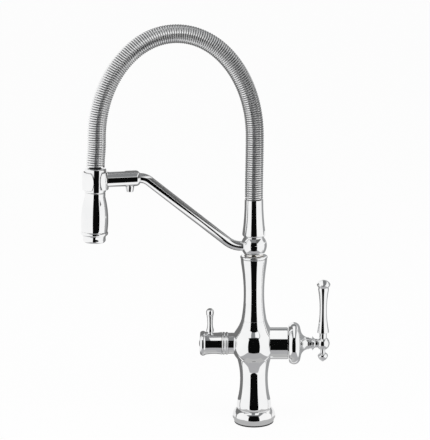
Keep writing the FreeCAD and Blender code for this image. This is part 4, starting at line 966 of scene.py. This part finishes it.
def wound_part(name, curve, pitch, first, turns):
    """Some turns of the spring: wound straight, starting at this turn, and then laid along the arch."""
    wire_r = S.coil_wire / 2
    start = Vector((S.spring_r - wire_r, 0.0, wire_r + first * pitch))
    piece = new_piece(name, bpy.ops.mesh.primitive_circle_add, start * MM, vertices=S.coil_sides,
                      radius=wire_r * MM, fill_type="NOTHING", rotation=(math.pi / 2, 0, 0))
    modify(piece, "SCREW", axis="Z", screw_offset=pitch * MM, iterations=turns,
           steps=S.coil_steps, render_steps=S.coil_steps)
    edit_all()
    bpy.ops.mesh.fill_holes(sides=0)
    close_up()
    modify(piece, "CURVE", object=curve, deform_axis="POS_Z")
    return piece


def wound_spring():
    """The spring in two parts that meet at the crown: one stands on the cone and one hangs to the head."""
    knots = arch_knots(S.cone_top_z + S.coil_foot_gap, -S.spring_seat_gap)
    rise = curve_through("arch_rise", knots[:3])
    curve = curve_through("arch_line", knots)
    to_crown = rise.data.splines[0].calc_length() / MM
    length = curve.data.splines[0].calc_length() / MM
    pitch = (length - S.coil_wire) / S.coil_turns
    rising = round(to_crown / pitch)
    standing = wound_part("standing_spring", curve, pitch, 0, rising)
    hang_in_arch(standing, "spring", WIRE, hangs=False)
    hanging = wound_part("hanging_spring", curve, pitch, rising, S.coil_turns - rising)
    hang_in_arch(hanging, "spring", WIRE, hangs=True)
    bpy.data.objects.remove(rise)
    bpy.data.objects.remove(curve)


def water_hose():
    """The hose inside the spring, in two parts that meet at the crown."""
    base = S.cone_web_z + S.union_long - S.hose_into_union + S.seat_gap
    knots = arch_knots(base, S.hose_into_sleeve)
    for name, part, hangs in (("standing_hose", knots[:3], False), ("hanging_hose", knots[2:], True)):
        piece = meshed(curve_through(name, part, S.hose_braid_r))
        hang_in_arch(piece, "inner_hose", FINISHES["rubber"], hangs)


# The spray head

def head_sleeve():
    bore_floor = S.sleeve_top_z - S.sleeve_bore_long
    check = S.check_r + S.fit_gap
    check_floor = S.sleeve_low_z + S.head_spigot_long + S.seat_gap
    check_top = check_floor + S.check_long + S.seat_gap
    spigot = S.head_spigot_r + S.fit_gap
    outer = S.collar_bore_r - S.dock_gap
    edge = S.sleeve_round
    piece = turned("hose_end_sleeve", [
        (spigot, S.sleeve_low_z),
        (outer - edge, S.sleeve_low_z),
        (outer, S.sleeve_low_z + edge, edge),
        (outer, S.sleeve_top_z - edge),
        (outer - edge, S.sleeve_top_z, edge),
        (S.sleeve_bore_r, S.sleeve_top_z),
        (S.sleeve_bore_r, bore_floor),
        (S.hose_bore_r, bore_floor),
        (S.hose_bore_r, check_top),
        (check, check_top),
        (check, check_floor),
        (spigot, check_floor),
    ])
    set_in(piece, "head_sleeve", HEAD, "spray_head")


def head_vase():
    wall = S.head_wall
    spigot_top = S.sleeve_low_z + S.head_spigot_long
    neck_low = S.head_neck_z
    piece = turned("head_vase", [
        (S.head_low_r - wall, S.head_low_z),
        (S.head_low_r, S.head_low_z),
        (S.head_belly_r, S.head_belly_z, S.head_belly_sweep),
        (S.head_neck_r, neck_low, TANGENT),
        (S.head_neck_r, S.sleeve_low_z - S.head_neck_round),
        (S.head_neck_r - S.head_neck_round, S.sleeve_low_z, S.head_neck_round),
        (S.head_spigot_r, S.sleeve_low_z),
        (S.head_spigot_r, spigot_top),
        (S.hose_bore_r, spigot_top),
        (S.hose_bore_r, neck_low),
        (S.head_neck_r - wall, neck_low - wall * 2),
        (S.head_belly_r - wall, S.head_belly_z),
    ])
    set_in(piece, "head_shell", HEAD, "spray_head")


def head_bead():
    top = S.head_low_z - S.seat_gap
    bow = bow_radius((top - S.bead_low_z) / 2, S.bead_r - S.bead_edge_r)
    piece = turned("head_bead_ring", [
        (S.bead_bore_r, S.bead_low_z),
        (S.bead_edge_r, S.bead_low_z),
        (S.bead_edge_r, top, bow),
        (S.bead_bore_r, top),
    ], S.bead_edge)
    set_in(piece, "head_bead", HEAD, "spray_head")


def nozzle_ring():
    top = S.bead_low_z - S.seat_gap
    wall = S.nozzle_wall
    piece = turned("selector_ring", [
        (S.nozzle_low_r - wall, S.nozzle_low_z),
        (S.nozzle_low_r, S.nozzle_low_z),
        (S.nozzle_lip_r, S.nozzle_lip_z, S.nozzle_round),
        (S.nozzle_waist_r, S.nozzle_waist_z),
        (S.nozzle_top_r, top),
        (S.nozzle_low_r - wall, top),
    ], S.fine_edge)
    set_in(piece, "nozzle_ring", HEAD, "nozzle")


# The mixer branch and its handle

def mixer_sleeve():
    bore = S.branch_bore_r
    edge = S.collar_round
    piece = turned("mixer_barrel", [
        (bore, S.mixer_sleeve_start),
        (S.sleeve_r, S.mixer_sleeve_start),
        (S.sleeve_r, S.mixer_sleeve_end - edge),
        (S.sleeve_r - edge, S.mixer_sleeve_end, edge),
        (bore, S.mixer_sleeve_end),
    ])
    set_in(piece, "mixer_sleeve", MIXER, "base")


def dome_nut():
    low = S.cartridge_end + S.seat_gap
    piece = turned("dome_nut", [
        (S.nut_bore_r, low),
        (S.cartridge_r, low),
        (S.cartridge_r, S.nut_dome_start),
        (S.nut_bore_r, S.nut_dome_end, S.nut_dome_round),
    ], S.fine_edge)
    set_in(piece, "cartridge_nut", MIXER, "base", "brass")
    # The nut keeps the brass slot but wears nearly black brass, painted shade for the gap behind the bell
    dress(piece, FINISHES["painted_shade"])


def mixer_bell():
    wall_x = S.bell_front_x - S.bell_front_wall
    rim_bow = bow_radius(S.bell_rim_x - S.bell_back, S.bell_rim_r - S.bell_back_r)
    piece = turned("handle_bell", [
        (AXIS, S.bell_socket_end),
        (S.bell_socket_r, S.bell_socket_end),
        (S.bell_socket_r, wall_x),
        (S.bell_bore_r, wall_x),
        (S.bell_bore_r, S.bell_back),
        (S.bell_back_r, S.bell_back),
        (S.bell_rim_r, S.bell_rim_x, rim_bow),
        (S.bell_front_r, S.bell_front_x, TANGENT),
        (S.bell_flare_r, S.bell_flare_x),
        (S.bell_hub_r, S.bell_hub_x, -S.bell_flare_sweep),
        (AXIS, S.bell_hub_x),
    ])
    set_in(piece, "mixer_bell", MIXER, "mixer_handle")


def knife_neck():
    start = S.bell_hub_x + S.seat_gap
    half = S.neck_ring_half
    end = S.lever_x - chord_height(S.knuckle_r, S.neck_r) - S.seat_gap
    piece = turned("knife_neck", [
        (AXIS, start),
        (S.neck_root_r, start),
        (S.neck_ring_root_r, S.neck_ring_x - half),
        (S.neck_ring_r, S.neck_ring_x),
        (S.neck_ring_root_r, S.neck_ring_x + half),
        (S.neck_r, S.neck_waist_x, -S.neck_sweep),
        (S.neck_r, end),
        (AXIS, end),
    ], S.fine_edge)
    set_in(piece, "handle_neck", MIXER, "mixer_handle")


def knuckle_ball():
    ball = S.knuckle_r
    upper = chord_height(ball, S.lever_neck_r)
    lower = -chord_height(ball, S.finial_stem_r)
    flat = chord_height(ball, S.neck_r)
    piece = turned("knuckle_ball", [
        (AXIS, lower),
        (S.finial_stem_r, lower),
        (ball, AXIS, ball),
        (S.lever_neck_r, upper, ball),
        (AXIS, upper),
    ], edge=None)
    edit_all()
    bpy.ops.mesh.bisect(plane_co=(-flat * MM, 0, 0), plane_no=(-1, 0, 0), use_fill=True, clear_outer=True)
    bpy.ops.object.mode_set(mode="OBJECT")
    soften(piece, S.knuckle_edge)
    set_in(piece, "handle_knuckle", standing_matrix(S.lever_x), "mixer_handle")


def baluster_lever():
    low = chord_height(S.knuckle_r, S.lever_neck_r) + S.seat_gap
    piece = turned("baluster_lever", [
        (AXIS, low),
        (S.lever_neck_r, low),
        (S.lever_neck_r, S.lever_neck_top),
        (S.lever_skirt_r, S.lever_skirt_low),
        (S.lever_skirt_top_r, S.lever_skirt_top),
        (S.lever_waist_r, S.lever_waist_z, -S.lever_sweep_low),
        (S.lever_shoulder_r, S.lever_shoulder_z, -S.lever_sweep_high),
        (S.lever_groove_r, S.lever_groove_z, S.lever_groove_round),
        (S.lever_cap_r, S.lever_cap_z, S.lever_cap_round),
        (AXIS, S.lever_top_z, bow_radius(S.lever_cap_r, S.lever_top_z - S.lever_cap_z)),
    ], S.fine_edge)
    set_in(piece, "mixer_lever", standing_matrix(S.lever_x), "mixer_handle")


def onion_finial():
    low = chord_height(S.knuckle_r, S.finial_stem_r) + S.seat_gap
    swell = bow_radius(S.finial_z - S.finial_stem_z, S.finial_r - S.finial_stem_r)
    piece = turned("onion_finial", [
        (AXIS, low),
        (S.finial_stem_r, low),
        (S.finial_stem_r, S.finial_stem_z),
        (S.finial_r, S.finial_z, swell),
        (S.finial_tip_r, S.finial_tip_z - S.finial_tip_rise, S.finial_taper),
        (AXIS, S.finial_tip_z, bow_radius(S.finial_tip_r, S.finial_tip_rise)),
    ], S.bead_edge)
    set_in(piece, "lever_finial", standing_matrix(S.lever_x, True), "mixer_handle")


# The filter tap

def tap_barrel():
    piece = turned("tap_barrel", [
        (S.tap_sleeve_bore_r, S.tap_sleeve_start),
        (S.tap_sleeve_r, S.tap_sleeve_start),
        (S.tap_sleeve_r, S.tap_sleeve_end),
        (S.tap_sleeve_bore_r, S.tap_sleeve_end),
    ], S.fine_edge)
    set_in(piece, "tap_sleeve", TAP, "base")


def double_bead():
    low = S.tap_sleeve_end + S.seat_gap
    middle = (low + S.tap_bead_end) / 2
    bead = bow_radius((S.tap_bead_end - low) / 4, S.tap_bead_r - S.tap_bead_groove_r)
    piece = turned("double_bead", [
        (S.tap_sleeve_bore_r, low),
        (S.tap_bead_groove_r, low),
        (S.tap_bead_groove_r, middle, bead),
        (S.tap_bead_groove_r, S.tap_bead_end, bead),
        (S.tap_sleeve_bore_r, S.tap_bead_end),
    ], S.bead_edge)
    set_in(piece, "tap_beads", TAP, "base")


def spool_handle():
    rim = bow_radius(S.spool_rim_x - S.spool_flare_x, S.spool_rim_r - S.spool_flare_r)
    socket_floor = S.spool_end - S.spool_socket_deep
    shaft = S.spindle_r + S.seat_gap
    piece = turned("spool_handle", [
        (S.spool_bore_r, S.spool_start),
        (S.spool_r, S.spool_start),
        (S.spool_waist_r, S.spool_waist_x, -S.spool_sweep_low),
        (S.spool_flare_r, S.spool_flare_x, -S.spool_sweep_high),
        (S.spool_rim_r, S.spool_rim_x, rim),
        (S.spool_edge_r, S.spool_end, TANGENT),
        (S.spool_socket_r, S.spool_end),
        (S.spool_socket_r, socket_floor),
        (shaft, socket_floor),
        (shaft, S.spool_bore_end),
        (S.spool_bore_r, S.spool_bore_end),
    ], S.fine_edge)
    set_in(piece, "tap_spool", TAP, "filter_handle")


def button_cap():
    piece = turned("button_cap", [
        (AXIS, S.spool_end - S.cap_skirt),
        (S.cap_r, S.spool_end - S.cap_skirt),
        (S.cap_r, S.spool_end),
        (AXIS, S.spool_end + S.cap_dome, bow_radius(S.cap_r, S.cap_dome)),
    ], S.fine_edge)
    set_in(piece, "tap_cap", TAP, "filter_handle")


def ball_lever():
    foot = S.tap_lever_root + S.seat_gap
    piece = turned("ball_lever", [
        (AXIS, foot),
        (S.tap_lever_root_r, foot),
        (S.tap_lever_root_r, S.tap_lever_foot_low),
        (S.tap_lever_foot_r, S.tap_lever_foot_low + S.tap_lever_foot_round),
        (S.tap_lever_foot_r, S.tap_lever_foot_top),
        (S.tap_lever_stem_r, S.tap_lever_stem_z, -S.tap_lever_sweep),
        (S.tap_lever_neck_r, S.tap_lever_neck_z, -S.tap_lever_neck_sweep),
        (S.tap_lever_ball_r, S.tap_lever_top_z - S.tap_lever_ball_r, S.tap_lever_ball_round),
        (AXIS, S.tap_lever_top_z, S.tap_lever_ball_r),
    ], S.fine_edge)
    set_in(piece, "tap_lever", standing_matrix(-S.tap_lever_x), "filter_handle")


# The studio, in metres and degrees

CAMERA_PLACE = (0.0, -1.95, 0.692)
CAMERA_TILT = 78.0
CAMERA_LENS = 124.2
CAMERA_SHIFT = -0.0885
CAMERA_REACH = 60.0
FLOOR_R = 14.0
FLOOR_SIDES = 128
FLOOR_GLOW = 0.94


def grey(level):
    """A neutral colour of this level."""
    return (level, level, level, 1.0)


def studio_world():
    """White for the eye, a plain pale level for diffuse light, and a room for the chrome: pale all round,
    with grey strips of ceiling and ground from front to back and a grey wall behind on the right."""
    world = bpy.data.worlds.new("studio")
    bpy.context.scene.world = world
    room = Shading(world)
    room.nodes.clear()
    direction = room.add("SeparateXYZ", {"Vector": room.add("TexCoord").outputs["Generated"]})
    across, depth, height = direction.outputs

    def reckon(operation, *values, clamped=False):
        step = room.add("Math", dict(enumerate(values)), operation=operation, use_clamp=clamped)
        return step.outputs["Value"]

    def past(angle, edge, soft):
        """1 past the edge and 0 before it, or the other way round where the soft border is negative."""
        beyond = reckon("SUBTRACT", angle, math.radians(edge))
        return reckon("DIVIDE", beyond, math.radians(soft), clamped=True)

    def panel(under, first_mask, second_mask, colour):
        mask = reckon("MULTIPLY", first_mask, second_mask)
        return room.add("Mix", {"Factor": mask, 6: under, 7: (*colour, 1.0)}, data_type="RGBA").outputs[2]

    def fan(side):
        """How far a direction leans sideways from straight up or straight down."""
        return reckon("ABSOLUTE", reckon("ARCTAN2", across, reckon("MULTIPLY", height, side)))

    round_about = reckon("ARCTAN2", across, reckon("MULTIPLY", depth, -1.0))
    lift = reckon("ARCSINE", height)
    right_wall = past(round_about, edge=108, soft=2)
    colour = panel(grey(0.97), right_wall, past(lift, edge=34, soft=-9), (0.34, 0.345, 0.35))
    ceiling = past(fan(1.0), edge=38, soft=-5)
    colour = panel(colour, ceiling, past(lift, edge=29, soft=5), (0.23, 0.235, 0.24))
    ground = past(fan(-1.0), edge=44, soft=-2)
    colour = panel(colour, ground, past(lift, edge=-31, soft=-2), (0.42, 0.42, 0.43))

    mirrored = room.add("Background", {"Color": colour}).outputs["Background"]
    level = room.add("Background", {"Color": grey(0.9), "Strength": 0.75}).outputs["Background"]
    white = room.add("Background", {"Color": grey(1.0)}).outputs["Background"]
    ray = room.add("LightPath").outputs
    by_chrome = reckon("MAXIMUM", ray["Is Glossy Ray"], ray["Is Transmission Ray"])
    lit = room.add("MixShader", {"Fac": by_chrome, 1: level, 2: mirrored}).outputs["Shader"]
    seen = room.add("MixShader", {"Fac": ray["Is Camera Ray"], 1: lit, 2: white}).outputs["Shader"]
    room.add("OutputWorld", {"Surface": seen})


def painted(piece, material):
    """Starts a stage piece's material and gives its nodes."""
    piece.data.materials.append(material)
    return Shading(material)


def studio_floor():
    """A plain pale deck that runs to white and keeps a faint shadow."""
    deck = new_piece("studio_floor", bpy.ops.mesh.primitive_circle_add, vertices=FLOOR_SIDES, radius=FLOOR_R,
                     fill_type="NGON")
    paint = painted(deck, bpy.data.materials.new("pale_floor"))
    shader = paint.nodes["Principled BSDF"]
    for name, value in (("Base Color", grey(0.9)), ("Roughness", 0.9), ("Specular IOR Level", 0.0)):
        paint.feed(shader.inputs[name], value)
    glow = paint.add("Emission", {"Color": grey(1.0)}).outputs["Emission"]
    seen = paint.add("LightPath").outputs["Is Camera Ray"]
    share = paint.add("Math", {0: seen, 1: FLOOR_GLOW}, operation="MULTIPLY").outputs["Value"]
    mix = paint.add("MixShader", {"Fac": share, 1: shader.outputs["BSDF"], 2: glow})
    paint.feed(paint.nodes["Material Output"].inputs["Surface"], mix.outputs["Shader"])
    deck.visible_glossy = False


def studio_card(name, corner, along, upward, level):
    """A flat card that only the chrome sees: its lowest corner, its two sides and its grey level."""
    card = new_piece(name, bpy.ops.mesh.primitive_plane_add, size=1.0)
    along, upward = Vector(along), Vector(upward)
    middle = Vector(corner) + (along + upward) / 2
    face = Matrix((along, upward, along.cross(upward).normalized())).transposed().to_4x4()
    card.data.transform(Matrix.Translation(middle) @ face)
    paint = painted(card, bpy.data.materials.new(name))
    paint.nodes.remove(paint.nodes["Principled BSDF"])
    glow = paint.add("Emission", {"Color": grey(level)}).outputs["Emission"]
    paint.feed(paint.nodes["Material Output"].inputs["Surface"], glow)
    for ray in ("camera", "diffuse", "shadow", "transmission"):
        setattr(card, "visible_" + ray, False)


def studio_cards():
    """A dark opening in front, dark cards behind on the left and high on the right, pale cards over the
    mixer, below the arm and beside the foot, and a grey patch of deck."""
    studio_card("dark_opening", (-0.28, -0.50, -0.235), (0.56, 0, 0), (0, 0, 0.835), level=0.003)
    studio_card("left_card", (-0.17, 0.03, -0.20), (0.15, 0.07, 0), (0, 0, 0.80), level=0.18)
    studio_card("right_card", (0.12, -0.28, 0.347), (0, 0.48, 0), (0, 0, 0.213), level=0.13)
    studio_card("mixer_card", (0.021, -0.142, 0.25), (0.066, 0, 0), (0, 0.21, 0), level=1.0)
    studio_card("arm_card", (-0.185, -0.13, 0.235), (0.145, 0, 0), (0, 0.095, 0), level=0.97)
    for side, start in (("left", -0.106), ("right", 0.021)):
        studio_card(side + "_foot_card", (start, 0.022, -0.02), (0.085, 0, 0), (0, 0, 0.045), level=0.9)
    studio_card("deck_shine", (-0.06, -0.06, 0.0002), (0.12, 0, 0), (0, 0.12, 0), level=0.48)


def soft_lamp(name, place, aim, size, watts):
    """A round lamp that lights the deck and the dull pieces and doesn't show in the chrome."""
    lamp = bpy.data.lights.new(name, "AREA")
    lamp.shape = "DISK"
    lamp.size = size
    lamp.energy = watts
    holder = bpy.data.objects.new(name, lamp)
    holder.location = place
    holder.rotation_mode = "QUATERNION"
    holder.rotation_quaternion = (Vector(aim) - Vector(place)).to_track_quat("-Z", "Y")
    holder.visible_glossy = False
    bpy.context.scene.collection.objects.link(holder)


def camera():
    """Two metres in front and 0.7 metres above the deck, tipped down a little."""
    data = bpy.data.cameras.new("camera")
    data.lens = CAMERA_LENS
    data.clip_end = CAMERA_REACH
    data.shift_x = CAMERA_SHIFT
    holder = bpy.data.objects.new("camera", data)
    holder.location = CAMERA_PLACE
    holder.rotation_euler = (math.radians(CAMERA_TILT), 0.0, 0.0)
    bpy.context.scene.collection.objects.link(holder)
    bpy.context.scene.camera = holder


camera()
studio_world()
studio_cards()
studio_floor()
soft_lamp("overhead_lamp", place=(0.5, -0.7, 1.7), aim=(0.0, 0.0, 0.2), size=1.1, watts=9.0)
soft_lamp("side_lamp", place=(-1.3, -0.9, 0.9), aim=(0.0, 0.0, 0.25), size=0.9, watts=5.0)
finish_inner_pieces()
base_flange()
body_casting()
tapered_column()
column_cup()
turning_ball()
cone()
bent_arm()
outlet_block()
filter_outlet()
docking_ring()
wound_spring()
water_hose()
head_sleeve()
head_vase()
head_bead()
nozzle_ring()
mixer_sleeve()
dome_nut()
mixer_bell()
knife_neck()
knuckle_ball()
baluster_lever()
onion_finial()
tap_barrel()
double_bead()
spool_handle()
button_cap()
ball_lever()
bpy.context.scene.view_settings.view_transform = "Standard"
